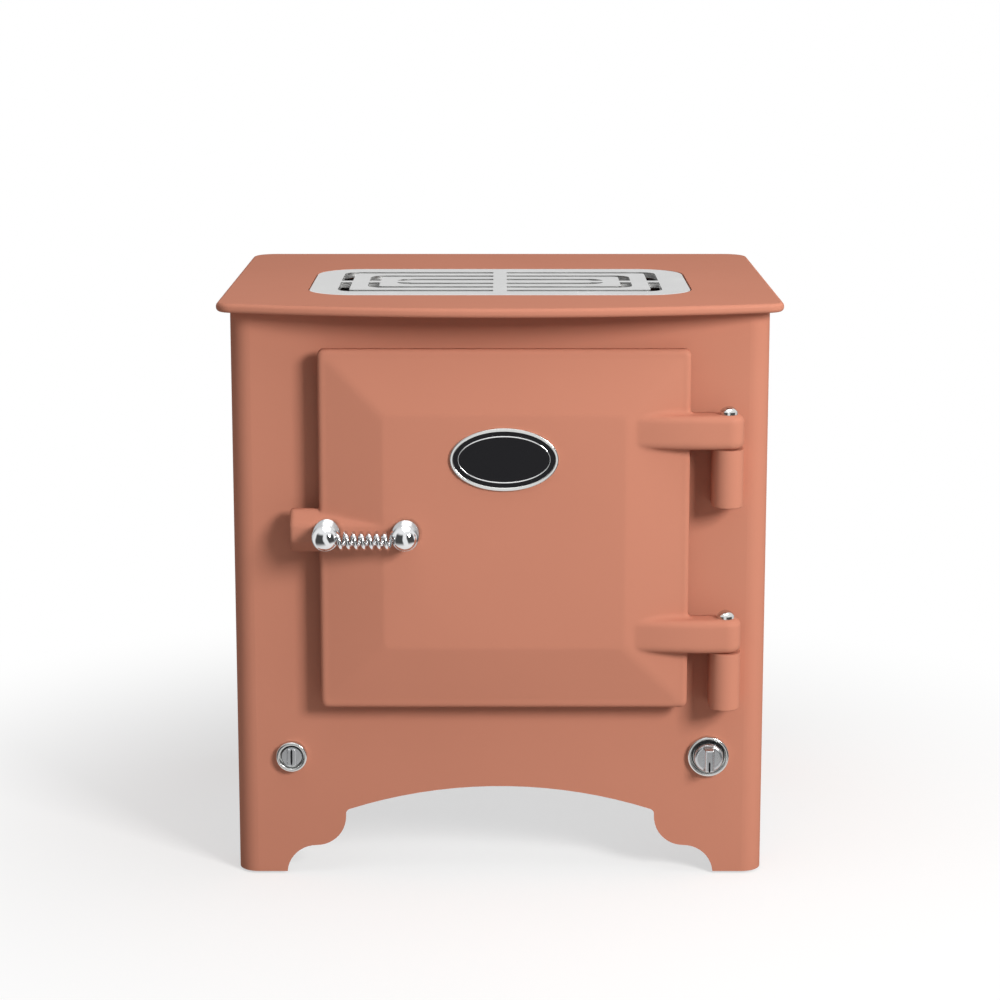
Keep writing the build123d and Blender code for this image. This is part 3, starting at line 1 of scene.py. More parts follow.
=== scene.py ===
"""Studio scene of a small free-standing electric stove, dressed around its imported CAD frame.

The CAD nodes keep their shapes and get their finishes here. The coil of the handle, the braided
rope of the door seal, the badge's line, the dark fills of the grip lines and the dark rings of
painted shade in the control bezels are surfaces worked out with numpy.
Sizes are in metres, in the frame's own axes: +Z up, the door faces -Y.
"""

import json
import logging
import math
from dataclasses import dataclass, replace
from enum import Enum
from typing import ClassVar, Dict, Iterable, List, Mapping, Optional, Sequence, Tuple, Union

import bpy
import numpy as np
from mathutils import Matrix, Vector

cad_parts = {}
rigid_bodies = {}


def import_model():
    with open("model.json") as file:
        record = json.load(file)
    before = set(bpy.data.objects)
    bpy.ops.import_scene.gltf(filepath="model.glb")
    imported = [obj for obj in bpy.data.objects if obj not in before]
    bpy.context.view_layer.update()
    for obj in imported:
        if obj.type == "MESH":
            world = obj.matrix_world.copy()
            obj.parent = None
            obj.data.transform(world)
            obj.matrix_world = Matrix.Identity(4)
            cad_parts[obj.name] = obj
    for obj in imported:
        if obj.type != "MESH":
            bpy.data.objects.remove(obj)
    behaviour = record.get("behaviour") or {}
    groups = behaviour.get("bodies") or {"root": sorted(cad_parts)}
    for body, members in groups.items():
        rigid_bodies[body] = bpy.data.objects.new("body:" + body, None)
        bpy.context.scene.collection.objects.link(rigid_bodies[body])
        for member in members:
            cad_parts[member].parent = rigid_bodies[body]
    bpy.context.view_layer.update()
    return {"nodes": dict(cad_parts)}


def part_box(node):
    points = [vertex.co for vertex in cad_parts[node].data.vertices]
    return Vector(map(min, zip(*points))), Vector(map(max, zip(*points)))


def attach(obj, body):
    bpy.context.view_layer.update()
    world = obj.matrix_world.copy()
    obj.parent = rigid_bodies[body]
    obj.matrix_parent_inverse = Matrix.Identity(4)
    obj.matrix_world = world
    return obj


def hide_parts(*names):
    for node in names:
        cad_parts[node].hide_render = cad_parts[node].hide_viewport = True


LOG = logging.getLogger("stove")
FULL_TURN = 2 * math.pi

Colour = Tuple[float, float, float]
Point = Tuple[float, float, float]
Pair = Tuple[float, float]
Names = Tuple[str, ...]
Nodes = Mapping[str, bpy.types.Object]
Array = np.ndarray

FRONT: Point = (0.0, -1.0, 0.0)
IN_PLAN: Point = (1.0, 1.0, 0.0)
EVEN: Point = (1.0, 1.0, 1.0)
WHITE: Colour = (1.0, 1.0, 1.0)


class Body(Enum):
    """The CAD bodies that pieces ride on."""

    STOVE = "body"
    DOOR = "door"
    KNOB = "knob"
    SELECTOR = "selector"


class Axis(Enum):
    """The axes of the frame."""

    X = "X"
    Y = "Y"
    Z = "Z"


class Grain(Enum):
    """The way that a sheet's polishing lines run, as the stretch of a noise along X, Y and Z."""

    ALONG_X = (3.0, 260.0, 260.0)
    ALONG_Z = (260.0, 260.0, 3.0)


class Source(Enum):
    """What a pattern is read from; the room's is the way that a ray goes."""

    OBJECT = "Object"
    UV = "UV"
    NORMAL = "Normal"
    HEADING = "Generated"


class Ray(Enum):
    """Kinds of rays: those that bright metal mirrors and those that dull surfaces gather."""

    MIRRORED = "Is Glossy Ray"
    GATHERED = "Is Diffuse Ray"


class Signal:
    """One output socket of a node tree, with the arithmetic that shader maths is written in."""

    def __init__(self, kit: "NodeKit", socket: bpy.types.NodeSocket) -> None:
        self.kit = kit
        self.socket = socket

    def __add__(self, other: "Operand") -> "Signal":
        """Sum of two values."""
        return self.kit.math("ADD", self, other)

    def __sub__(self, other: "Operand") -> "Signal":
        """Difference of two values."""
        return self.kit.math("SUBTRACT", self, other)

    def __mul__(self, other: "Operand") -> "Signal":
        """Product of two values."""
        return self.kit.math("MULTIPLY", self, other)

    def __rsub__(self, other: "Operand") -> "Signal":
        """Difference with the number first."""
        return self.kit.math("SUBTRACT", other, self)

    def __abs__(self) -> "Signal":
        """The value without its sign."""
        return self.kit.math("ABSOLUTE", self, 0.0)

    __radd__ = __add__
    __rmul__ = __mul__

    def sway(self, span: float) -> "Signal":
        """A value from 0 to 1, turned into a swing of this span about nothing."""
        return (self - 0.5) * span

    def step(self, low: float, high: float) -> "Signal":
        """Smooth step of the value from 0 at low to 1 at high."""
        settings = {"interpolation_type": "SMOOTHSTEP"}
        inputs = {"Value": self, "From Min": low, "From Max": high}
        return self.kit.node("ShaderNodeMapRange", settings, inputs)


Operand = Union[Signal, float]
Socket = Union[str, int]


class NodeKit:
    """Adds nodes to one node tree and links them."""

    def __init__(self, tree: bpy.types.NodeTree) -> None:
        """Empties the tree and starts on it."""
        self.tree = tree
        tree.nodes.clear()

    def node(
        self,
        kind: str,
        settings: Optional[Mapping[str, object]] = None,
        inputs: Optional[Mapping[Socket, object]] = None,
        output: Socket = 0,
    ) -> Signal:
        """Adds one node.

        Args:
            kind: The node's type.
            settings: Properties that are set first.
            inputs: A value or a Signal for each named or numbered input socket.
            output: The output socket to give back.

        Returns:
            The chosen output as a Signal.
        """
        made = self.tree.nodes.new(kind)
        for name, value in (settings or {}).items():
            setattr(made, name, value)
        for name, value in (inputs or {}).items():
            if isinstance(value, Signal):
                self.tree.links.new(value.socket, made.inputs[name])
            else:
                made.inputs[name].default_value = value
        return Signal(self, made.outputs[output])

    def math(self, operation: str, first: Operand, second: Operand) -> Signal:
        """Adds a Math node on two values."""
        return self.node("ShaderNodeMath", {"operation": operation}, {0: first, 1: second})

    def vector(
        self, operation: str, inputs: Mapping[Socket, object], output: str = "Vector"
    ) -> Signal:
        """Adds a Vector Math node."""
        return self.node("ShaderNodeVectorMath", {"operation": operation}, inputs, output)

    def part(self, vector: Signal, axis: Axis) -> Signal:
        """One coordinate of a vector."""
        return self.node("ShaderNodeSeparateXYZ", inputs={0: vector}, output=axis.value)

    def read(self, source: Source) -> Signal:
        """Coordinates of one source."""
        return self.node("ShaderNodeTexCoord", output=source.value)

    def ray(self, kind: Ray) -> Signal:
        """1 on rays of one kind, 0 on the others."""
        return self.node("ShaderNodeLightPath", output=kind.value)

    def place(self, stretch: Point = EVEN, source: Source = Source.OBJECT) -> Signal:
        """Coordinates of one source, stretched along each axis."""
        inputs = {"Vector": self.read(source), "Scale": stretch}
        return self.node("ShaderNodeMapping", inputs=inputs)

    def noise(self, place: Signal, scale: float, detail: float = 2.0, rough: float = 0.5) -> Signal:
        """Noise value, about 0.5 in the middle, at a scale in lumps per metre."""
        inputs = {"Vector": place, "Scale": scale, "Detail": detail, "Roughness": rough}
        return self.node("ShaderNodeTexNoise", inputs=inputs)

    def cells(self, place: Signal, scale: float) -> Signal:
        """A value for each cell of a Voronoi pattern, at a scale in cells per metre."""
        inputs = {"Vector": place, "Scale": scale}
        tint = self.node("ShaderNodeTexVoronoi", inputs=inputs, output="Color")
        return self.node("ShaderNodeSeparateColor", inputs={"Color": tint})

    def blend(
        self, factor: Operand, first: Union[Colour, Signal], second: Union[Colour, Signal]
    ) -> Signal:
        """Mixes two colours."""
        ends = [c if isinstance(c, Signal) else (*c, 1.0) for c in (first, second)]
        inputs = {0: factor, 6: ends[0], 7: ends[1]}
        return self.node("ShaderNodeMix", {"data_type": "RGBA"}, inputs, output=2)

    def tones(self, factor: Operand, colour: Colour, low: float, high: float) -> Signal:
        """Mixes two shades of one colour, each given as a share of it."""
        return self.blend(factor, shade(colour, low), shade(colour, high))

    def bump(
        self, height: Signal, strength: float, depth: float, base: Optional[Signal] = None
    ) -> Signal:
        """Normal of a surface with fine relief.

        Args:
            height: The relief, from 0 to 1.
            strength: How much of it is used.
            depth: Height of the relief in metres.
            base: The normal that the relief bends, where it isn't the surface's own.

        Returns:
            The bent normal.
        """
        inputs: Dict[Socket, object] = {"Height": height, "Strength": strength, "Distance": depth}
        if base is not None:
            inputs["Normal"] = base
        return self.node("ShaderNodeBump", inputs=inputs)

    def softened(self, radius: float, samples: int = 6) -> Optional[Signal]:
        """Normal that turns softly over edges within a radius; none where the radius is nothing."""
        if radius <= 0:
            return None
        return self.node("ShaderNodeBevel", {"samples": samples}, {"Radius": radius})

    def leaned(self, amount: Signal) -> Signal:
        """Normal that leans towards the piece's front by an amount of its own length."""
        lean = self.vector("SCALE", {0: FRONT, "Scale": amount})
        bent = self.vector("ADD", {0: self.read(Source.NORMAL), 1: lean})
        settings = {"vector_type": "NORMAL", "convert_from": "OBJECT", "convert_to": "WORLD"}
        return self.node("ShaderNodeVectorTransform", settings, {0: bent})

    def surface(self, sockets: Mapping[Socket, object]) -> None:
        """Ends the tree in a Principled shader with these sockets."""
        shader = self.node("ShaderNodeBsdfPrincipled", inputs=sockets)
        self.end("ShaderNodeOutputMaterial", shader)

    def end(self, kind: str, shader: Signal) -> None:
        """Ends the tree in an output node of this type."""
        made = self.tree.nodes.new(kind)
        self.tree.links.new(shader.socket, made.inputs["Surface"])


def shade(colour: Colour, factor: float) -> Colour:
    """The colour, made lighter or darker by a factor."""
    return tuple(channel * factor for channel in colour)


@dataclass(frozen=True)
class Finish:
    """A finish that makes one material.

    Attributes:
        laid: The materials made so far.
        name: The material's name.
        colour: Its main colour, linear.
        roughness: Its middle roughness.
    """

    laid: ClassVar[Dict["Finish", bpy.types.Material]] = {}

    name: str
    colour: Colour
    roughness: float

    def material(self) -> bpy.types.Material:
        """Makes the material, or gives back the one that was made before."""
        if self not in Finish.laid:
            made = bpy.data.materials.new(self.name)
            made.use_nodes = True
            self.lay(NodeKit(made.node_tree))
            Finish.laid[self] = made
        return Finish.laid[self]

    def lay(self, kit: NodeKit) -> None:
        """Adds the finish's nodes."""
        raise NotImplementedError


@dataclass(frozen=True)
class StovePaint(Finish):
    """Sprayed satin stove paint: soft cloudy tone, fine peel, a thin lacquer sheen.

    Attributes:
        cloud: Share by which the tone drifts over the panel.
        peel: Depth of the spray's fine relief.
        gloss: Level of the paint's own gloss.
        soft: Radius within which the paint rounds off edges and corners.
        specks: How much the light specks show.
        speck_tone: Share of the colour that the specks have.
    """

    cloud: float = 0.035
    peel: float = 0.00006
    gloss: float = 0.0
    soft: float = 0.0
    specks: float = 0.10
    speck_tone: float = 1.12

    def lay(self, kit: NodeKit) -> None:
        """Adds the paint's nodes."""
        place = kit.place()
        drift = kit.noise(place, scale=7.0, detail=3.0)
        speck = kit.noise(place, scale=420.0).step(0.6, 0.85)
        spray = kit.noise(place, scale=760.0, rough=0.6)
        tone = kit.tones(drift, self.colour, 1 - self.cloud, 1 + self.cloud)
        kit.surface({
            "Base Color": kit.blend(speck * self.specks, tone, shade(self.colour, self.speck_tone)),
            "Roughness": self.roughness + drift.sway(0.10) + spray.sway(0.06),
            "Coat Weight": 0.02 + drift * 0.04,
            "Coat Roughness": 0.30,
            "Specular IOR Level": self.gloss,
            "Normal": kit.bump(spray, 0.35, self.peel, kit.softened(self.soft)),
        })


@dataclass(frozen=True)
class BrightMetal(Finish):
    """Bright plated or polished metal, with faint handling smears that dull its gloss.

    Attributes:
        smear: Roughness that the smears add.
        ripple: Depth of the slow ripple left by polishing.
        satin_from: Place along Y behind which the metal is satin, where part of it is.
        satin_edge: Half-width of the change from bright to satin.
        satin_tone: Share of the colour that the satin part has.
        satin: Roughness that the satin part adds.
        lean: How far the satin part's shading leans to the front, as on a slight flare.
    """

    smear: float = 0.05
    ripple: float = 0.00002
    satin_from: Optional[float] = None
    satin_edge: float = 0.0025
    satin_tone: float = 0.66
    satin: float = 0.18
    lean: float = 0.9

    def lay(self, kit: NodeKit) -> None:
        """Adds the metal's nodes."""
        place = kit.place()
        wipe = kit.noise(place, scale=55.0, detail=4.0, rough=0.6)
        swell = kit.noise(place, scale=130.0, detail=1.0)
        tone = kit.tones(wipe, self.colour, 0.95, 1.0)
        gloss = self.roughness + wipe.step(0.5, 0.8) * self.smear
        facing: Optional[Signal] = None
        if self.satin_from is not None:
            depth = kit.part(place, Axis.Y) - self.satin_from
            behind = depth.step(-self.satin_edge, self.satin_edge)
            tone = kit.blend(behind, tone, shade(self.colour, self.satin_tone))
            gloss = gloss + behind * self.satin
            facing = kit.leaned(behind * self.lean)
        kit.surface({
            "Base Color": tone,
            "Metallic": 1.0,
            "Roughness": gloss,
            "Normal": kit.bump(swell, 0.25, self.ripple, facing),
        })


@dataclass(frozen=True)
class SheetSteel(Finish):
    """Stainless sheet with fine polishing lines along one axis.

    Faces square to another axis get painted shade, a darker colour of their own.

    Attributes:
        grain: The way that the lines run.
        lines: Roughness that the lines add and take.
        depth: Depth of the lines.
        waviness: Depth of the sheet's slow waves.
        axis: The axis that the dulled faces, which carry painted shade, stand square to.
        painted_shade_colour: Colour painted as shade on the faces square to the axis, where it
            isn't the same.
        dulled: Roughness of the dulled faces over that of the rest.
        metal: How metallic it is; less shows light that fine scratches scatter.
        dark_corner_lines: Places in plan of upright inner corners, where the sheet is drawn dark.
        corner_line_width: How far a corner's dark line reaches.
        corner_line_tone: Share of the colour that a corner's dark line has.
        smears: Roughness that smears add.
    """

    grain: Grain = Grain.ALONG_X
    lines: float = 0.06
    depth: float = 0.000004
    waviness: float = 0.00012
    axis: Axis = Axis.Z
    painted_shade_colour: Optional[Colour] = None
    dulled: float = 0.0
    metal: float = 1.0
    dark_corner_lines: Tuple[Pair, ...] = ()
    corner_line_width: float = 0.0026
    corner_line_tone: float = 0.06
    smears: float = 0.05

    def lay(self, kit: NodeKit) -> None:
        """Adds the sheet's nodes."""
        place = kit.place()
        brush = kit.noise(kit.place(self.grain.value), scale=9.0, detail=3.0, rough=0.65)
        wave = kit.noise(place, scale=9.0, detail=1.0)
        smear = kit.noise(place, scale=24.0, detail=4.0, rough=0.6).step(0.55, 0.8)
        dull = abs(kit.part(kit.read(Source.NORMAL), self.axis)).step(0.6, 0.9)
        tone = kit.tones(brush, self.colour, 0.90, 1.06)
        # Painted shade: faces square to the axis take a darker colour of their own, for how they
        # catch the light.
        if self.painted_shade_colour:
            tone = kit.blend(dull, tone, self.painted_shade_colour)
        # The sheet is drawn darker along each given upright corner.
        for corner_line in self.dark_corner_lines:
            plan = kit.vector("MULTIPLY", {0: place, 1: IN_PLAN})
            away = kit.vector("DISTANCE", {0: plan, 1: (*corner_line, 0.0)}, "Value")
            clear = away.step(self.corner_line_width / 2, self.corner_line_width)
            tone = kit.blend(clear, shade(self.colour, self.corner_line_tone), tone)
        gloss = self.roughness + brush.sway(self.lines)
        kit.surface({
            "Base Color": tone,
            "Metallic": self.metal,
            "Roughness": gloss + smear * self.smears + dull * self.dulled,
            "Normal": kit.bump(brush * self.depth + wave * self.waviness, 1.0, 1.0),
        })


@dataclass(frozen=True)
class CastMetal(Finish):
    """Cast metal that is polished on top and left as it was cast, dull and pitted, below.

    Attributes:
        pits: Depth of the casting's pits.
        top: Height of the polished top.
        raw: Share of the colour that the unpolished walls keep.
        raw_from: Depths under the top between which the polish ends.
        raw_rough: Roughness that the unpolished walls add.
    """

    pits: float = 0.00005
    top: float = 0.0
    raw: float = 0.66
    raw_from: Pair = (0.0010, 0.0025)
    raw_rough: float = 0.25

    def lay(self, kit: NodeKit) -> None:
        """Adds the casting's nodes."""
        place = kit.place()
        skin = kit.noise(place, scale=300.0, detail=4.0, rough=0.6)
        wipe = kit.noise(place, scale=28.0, detail=4.0, rough=0.6)
        swirl = kit.noise(kit.place((1.0, 14.0, 14.0)), scale=40.0, detail=3.0)
        below = (self.top - kit.part(place, Axis.Z)).step(*self.raw_from)
        bright = kit.tones(wipe, self.colour, 0.9, 1.0)
        polish = self.roughness + swirl.sway(0.16) + wipe.step(0.5, 0.85) * 0.08
        kit.surface({
            "Base Color": kit.blend(below, bright, shade(self.colour, self.raw)),
            "Metallic": 1.0,
            "Roughness": polish + below * self.raw_rough,
            "Normal": kit.bump(skin, 0.3, self.pits),
        })


@dataclass(frozen=True)
class ZincSheet(Finish):
    """Galvanised sheet with large frost-like crystals."""

    def lay(self, kit: NodeKit) -> None:
        """Adds the zinc's nodes."""
        place = kit.place()
        spangle = kit.cells(place, scale=110.0)
        dull = kit.noise(place, scale=16.0, detail=3.0)
        kit.surface({
            "Base Color": kit.tones(spangle, self.colour, 0.78, 1.15),
            "Metallic": 1.0,
            "Roughness": self.roughness + spangle.sway(0.18) + dull.sway(0.12),
        })


@dataclass(frozen=True)
class Enamel(Finish):
    """Gloss enamel with a faint dust of fine scratches."""

    def lay(self, kit: NodeKit) -> None:
        """Adds the enamel's nodes."""
        place = kit.place()
        dust = kit.noise(place, scale=900.0, detail=3.0, rough=0.7)
        wave = kit.noise(place, scale=60.0, detail=1.0)
        kit.surface({
            "Base Color": kit.tones(dust.step(0.62, 0.8), self.colour, 1.0, 2.2),
            "Roughness": self.roughness + dust.step(0.55, 0.8) * 0.08,
            "Coat Weight": 0.04,
            "Coat Roughness": 0.04,
            "Specular IOR Level": 0.05,
            "Normal": kit.bump(wave, strength=0.2, depth=0.00008),
        })


@dataclass(frozen=True)
class Moulding(Finish):
    """Moulded plastic, rubber or black steel: dull and finely grained.

    Attributes:
        grains: Grains per metre.
        relief: Depth of the grain.
        metal: How metallic it is.
    """

    grains: float = 1600.0
    relief: float = 0.00005
    metal: float = 0.0

    def lay(self, kit: NodeKit) -> None:
        """Adds the moulding's nodes."""
        place = kit.place()
        grain = kit.noise(place, self.grains)
        wear = kit.noise(place, scale=40.0, detail=4.0)
        kit.surface({
            "Base Color": kit.tones(wear, self.colour, 0.82, 1.25),
            "Metallic": self.metal,
            "Roughness": self.roughness + wear.sway(0.14) + grain.sway(0.08),
            "Normal": kit.bump(grain, 0.4, self.relief),
        })


@dataclass(frozen=True)
class HotSheath(Finish):
    """Heater rod sheath, browned and blued in patches by heat.

    Attributes:
        bloom: Colour of the patches.
    """

    bloom: Colour = (0.20, 0.13, 0.08)

    def lay(self, kit: NodeKit) -> None:
        """Adds the sheath's nodes."""
        place = kit.place()
        patch = kit.noise(place, scale=22.0, detail=4.0, rough=0.6)
        scale = kit.noise(place, scale=900.0)
        kit.surface({
            "Base Color": kit.blend(patch.step(0.42, 0.66), self.colour, self.bloom),
            "Metallic": 0.9,
            "Roughness": self.roughness + patch.sway(0.2) + scale.sway(0.1),
            "Normal": kit.bump(scale, strength=0.4, depth=0.00005),
        })


@dataclass(frozen=True)
class GlassRope(Finish):
    """Glass-fibre yarn: fine filaments along each strand and a little dirt between strands."""

    def lay(self, kit: NodeKit) -> None:
        """Adds the yarn's nodes."""
        yarn = kit.place((1.0, 40.0, 1.0), Source.UV)
        thread = kit.noise(yarn, scale=6.0, detail=3.0, rough=0.6)
        soil = kit.noise(kit.place(), scale=45.0, detail=4.0, rough=0.6).step(0.5, 0.8)
        tone = kit.tones(thread, self.colour, 0.78, 1.12)
        kit.surface({
            "Base Color": kit.blend(soil * 0.5, tone, shade(self.colour, 0.62)),
            "Roughness": self.roughness + thread.sway(0.15),
            "Normal": kit.bump(thread, strength=0.6, depth=0.00012),
        })


@dataclass(frozen=True)
class MineralWool(Finish):
    """Mineral wool batt: matted fibres, lighter where they stand loose."""

    def lay(self, kit: NodeKit) -> None:
        """Adds the wool's nodes."""
        mat = kit.noise(kit.place((1.0, 1.0, 3.0)), scale=120.0, detail=6.0, rough=0.7)
        clump = kit.noise(kit.place(), scale=26.0, detail=3.0)
        kit.surface({
            "Base Color": kit.tones(mat * 0.6 + clump * 0.4, self.colour, 0.6, 1.3),
            "Roughness": self.roughness,
            "Normal": kit.bump(mat, strength=0.9, depth=0.0015),
        })


class Palette:
    """The stove's finishes, each by a plain name."""

    paint = StovePaint("stove_paint", (0.550, 0.225, 0.150), 0.46)
    cast_paint = replace(paint, name="stove_paint_on_casting", soft=0.006)
    back_paint = StovePaint("black_back_paint", (0.030, 0.030, 0.031), 0.52, 0.12, 0.00012, 0.3)
    chrome = BrightMetal("bright_chrome", (0.80, 0.81, 0.82), 0.05)
    trim = BrightMetal("handled_chrome", (0.68, 0.69, 0.68), 0.16)
    turned = BrightMetal("turned_steel", (0.56, 0.575, 0.59), 0.26)
    magnet = BrightMetal("plated_magnet", (0.62, 0.62, 0.62), 0.16)
    zinc_bright = BrightMetal("zinc_plate", (0.62, 0.62, 0.60), 0.24)
    stud = BrightMetal("stud_steel", (0.70, 0.70, 0.70), 0.15)
    copper = BrightMetal("capillary_copper", (0.62, 0.33, 0.20), 0.22)
    grille = CastMetal("polished_grille", (0.84, 0.845, 0.84), 0.22)
    # Painted shade: the oven's and shelf's faces square to Z are darker; the door liner's faces
    # square to Y take a painted blue-grey reflection.
    oven = SheetSteel("oven_mirror_sheet", (0.64, 0.64, 0.65), 0.07, Grain.ALONG_Z, 0.04,
                      painted_shade_colour=(0.256, 0.256, 0.260), dulled=0.34, metal=0.78)
    shelf = SheetSteel("shelf_sheet", (0.64, 0.64, 0.65), 0.14, Grain.ALONG_X,
                       painted_shade_colour=(0.205, 0.205, 0.208), dulled=0.17, metal=0.85)
    plug = SheetSteel("door_liner_sheet", (0.72, 0.73, 0.73), 0.46, Grain.ALONG_Z, 0.08,
                      axis=Axis.Y, painted_shade_colour=(0.47, 0.54, 0.63))
    galvanised = ZincSheet("galvanised_sheet", (0.56, 0.57, 0.58), 0.36)
    enamel = Enamel("badge_enamel", (0.012, 0.012, 0.014), 0.10)
    blackened = Moulding("blackened_steel", (0.020, 0.020, 0.021), 0.38, 900.0, 0.00003, 0.6)
    moulding = Moulding("switch_moulding", (0.022, 0.022, 0.023), 0.48)
    pale_moulding = Moulding("terminal_moulding", (0.66, 0.63, 0.56), 0.50)
    rubber = Moulding("bush_rubber", (0.018, 0.018, 0.018), 0.68, 700.0, 0.0001)
    sheath = HotSheath("heater_sheath", (0.10, 0.095, 0.10), 0.42)
    rope = GlassRope("glass_rope_yarn", (0.74, 0.73, 0.70), 0.82)
    # Painted shade: a darker copy of the yarn for the left-hand strands, and a dark core that shows
    # as shade between the strands.
    rope_shade = GlassRope("glass_rope_painted_shade_yarn", (0.44, 0.435, 0.41), 0.82)
    rope_painted_shade_core = GlassRope("glass_rope_painted_shade_core", (0.16, 0.155, 0.145), 0.90)
    wool = MineralWool("wool_batt", (0.48, 0.42, 0.28), 0.95)


def dress(nodes: Nodes, finishes: Mapping[Finish, Iterable[str]]) -> None:
    """Gives CAD nodes their finishes.

    Args:
        nodes: The frame's nodes.
        finishes: The names of the nodes that take each finish.
    """
    for finish, names in finishes.items():
        for name in names:
            for holder in nodes[name].material_slots:
                holder.material = finish.material()


def span(name: str) -> Tuple[Vector, Vector, Vector]:
    """Low corner, middle and half-sizes of a CAD node's box."""
    low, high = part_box(name)
    return low, (low + high) / 2, (high - low) / 2


def new_object(name: str, data: bpy.types.ID) -> bpy.types.Object:
    """Adds an object with this data to the scene."""
    made = bpy.data.objects.new(name, data)
    bpy.context.scene.collection.objects.link(made)
    return made


def add_piece(
    name: str,
    rings: Sequence[Array],
    finish: Finish,
    body: Body,
    closed: bool = False,
) -> bpy.types.Object:
    """Makes one piece from grids of points, each wound round its second axis.

    Args:
        name: The piece's name.
        rings: Grids of one shape (rings, sides, 3), each a tube whose sides close on themselves.
        finish: Its finish.
        body: The CAD body that it rides on.
        closed: Whether each grid's last ring joins its first.

    Returns:
        The new object. Its UV map runs along the rings in U and round them in V.
    """
    grids = np.stack(rings)
    tubes, count, sides = grids.shape[:3]
    spans = count if closed else count - 1
    shape = (np.arange(tubes), np.arange(spans), np.arange(sides))
    start, row, side = np.meshgrid(*shape, indexing="ij")
    here, after = (start * count + row) * sides, (start * count + (row + 1) % count) * sides
    beside = (side + 1) % sides
    quads = np.stack([here + side, after + side, after + beside, here + beside], axis=-1)
    corner_u = np.stack([row, row + 1, row + 1, row], axis=-1) / spans
    corner_v = np.stack([side, side, side + 1, side + 1], axis=-1) / sides
    laid = np.stack([corner_u, corner_v], axis=-1).reshape(-1, 2)
    first = np.arange(tubes)[:, None] * count * sides + np.arange(sides)
    last = first[:, ::-1] + (count - 1) * sides
    caps = [] if closed else np.concatenate([first, last]).tolist()
    mesh = bpy.data.meshes.new(name)
    mesh.from_pydata(grids.reshape(-1, 3).tolist(), [], quads.reshape(-1, 4).tolist() + caps)
    layer = mesh.uv_layers.new(name="strand")
    spread = np.zeros((len(mesh.loops), 2), np.float32)
    spread[: len(laid)] = laid
    layer.data.foreach_set("uv", spread.ravel())
    mesh.polygons.foreach_set("use_smooth", np.ones(len(mesh.polygons), bool))
    mesh.update()
    mesh.materials.append(finish.material())
    piece = new_object(name, mesh)
    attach(piece, body.value)
    LOG.info("piece %s: %d faces", name, len(mesh.polygons))
    return piece


def full_turn(steps: int) -> Array:
    """Angles of one full turn, in even steps."""
    return np.linspace(0, FULL_TURN, steps, endpoint=False)


def tube(
    path: Array,
    across: Array,
    width: Union[float, Array],
    height: float,
    sides: int,
) -> Array:
    """An oval section carried along a path.

    Each ring is path + width * cos(v) * (tangent x across) + height * sin(v) * across.

    Args:
        path: Points of the centre line, shape (n, 3).
        across: Unit directions square to the path, shape (n, 3).
        width: Half-size of the section square to across, one for all or of shape (n, 1, 1).
        height: Half-size of the section along across.
        sides: Points in each ring.

    Returns:
        A grid of shape (n, sides, 3).
    """
    tangent = np.gradient(path, axis=0)
    tangent /= np.linalg.norm(tangent, axis=1, keepdims=True)
    beside = np.cross(tangent, across)[:, None]
    turn = full_turn(sides)[None, :, None]
    return path[:, None] + width * np.cos(turn) * beside + height * np.sin(turn) * across[:, None]


def front_oval(turn: Array, middle: Point, half_x: float, half_z: float) -> Array:
    """Points of an ellipse that faces the front.

    Each is middle + (half_x * cos(t), 0, half_z * sin(t)).

    Args:
        turn: The angles t, shape (n,).
        middle: Its middle.
        half_x: Half of its width.
        half_z: Half of its height.

    Returns:
        Points of shape (n, 3).
    """
    x, y, z = middle
    return np.stack([x + half_x * np.cos(turn), np.full_like(turn, y),
                     z + half_z * np.sin(turn)], axis=1)


@dataclass
class Carcass:
    """The painted shell that stands on the floor, its trays, back and feet.

    Attributes:
        painted: Nodes in the stove's colour.
        zinc: Nodes of galvanised sheet.
    """

    painted: Names = (
        "casing", "door_seat", "top_plate", "hinge_bracket_upper", "hinge_bracket_lower",
    )
    zinc: Names = (
        "base_pan", "control_shield", "heat_deflector", "leg_gussets", "heater_rests",
    )

    def build(self, nodes: Nodes) -> None:
        """Dresses the shell's nodes."""
        dress(nodes, {
            Palette.paint: self.painted,
            Palette.galvanised: self.zinc,
            replace(Palette.grille, top=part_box("top_grille")[1].z): ["top_grille"],
            Palette.back_paint: ["back_panel"],
            Palette.zinc_bright: ["back_screws"],
            Palette.moulding: ["levelling_feet"],
            Palette.rubber: ["cable_bush"],
        })


@dataclass
class Oven:
    """The polished oven box, its shelf and what surrounds it.

    Attributes:
        flange: Width of the liner's flange round the oven's mouth.
        sheet: Thickness of the liner's sheet.
    """

    flange: float = 0.014
    sheet: float = 0.0015

    def build(self, nodes: Nodes) -> None:
        """Dresses the oven's nodes; the liner is drawn dark along its two upright back corners."""
        low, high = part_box("oven_liner")
        back = high.y - self.sheet
        dark_corner_lines = ((low.x + self.flange, back), (high.x - self.flange, back))
        dress(nodes, {
            replace(Palette.oven, dark_corner_lines=dark_corner_lines): ["oven_liner"],
            Palette.shelf: ["shelf", "shelf_rail_left", "shelf_rail_right"],
            Palette.wool: ["insulation_jacket", "insulation_slab"],
            Palette.sheath: ["oven_element", "heater_element"],
        })


@dataclass(frozen=True)
class Turner:
    """One turn control: a grip in its bezel.

    Attributes:
        name: What its small pieces are called after.
        bezel: Node of the ring on the casing.
        grip: Node of what turns in it.
        body: The body that the grip rides on.
        gap: Space round the grip, in its bezel.
        groove: Depth of the line in the grip's face.
        ends: Ends of the line, as shares of the grip's half-height over its middle.
    """

    name: str
    bezel: str
    grip: str
    body: Body
    gap: float
    groove: float
    ends: Pair


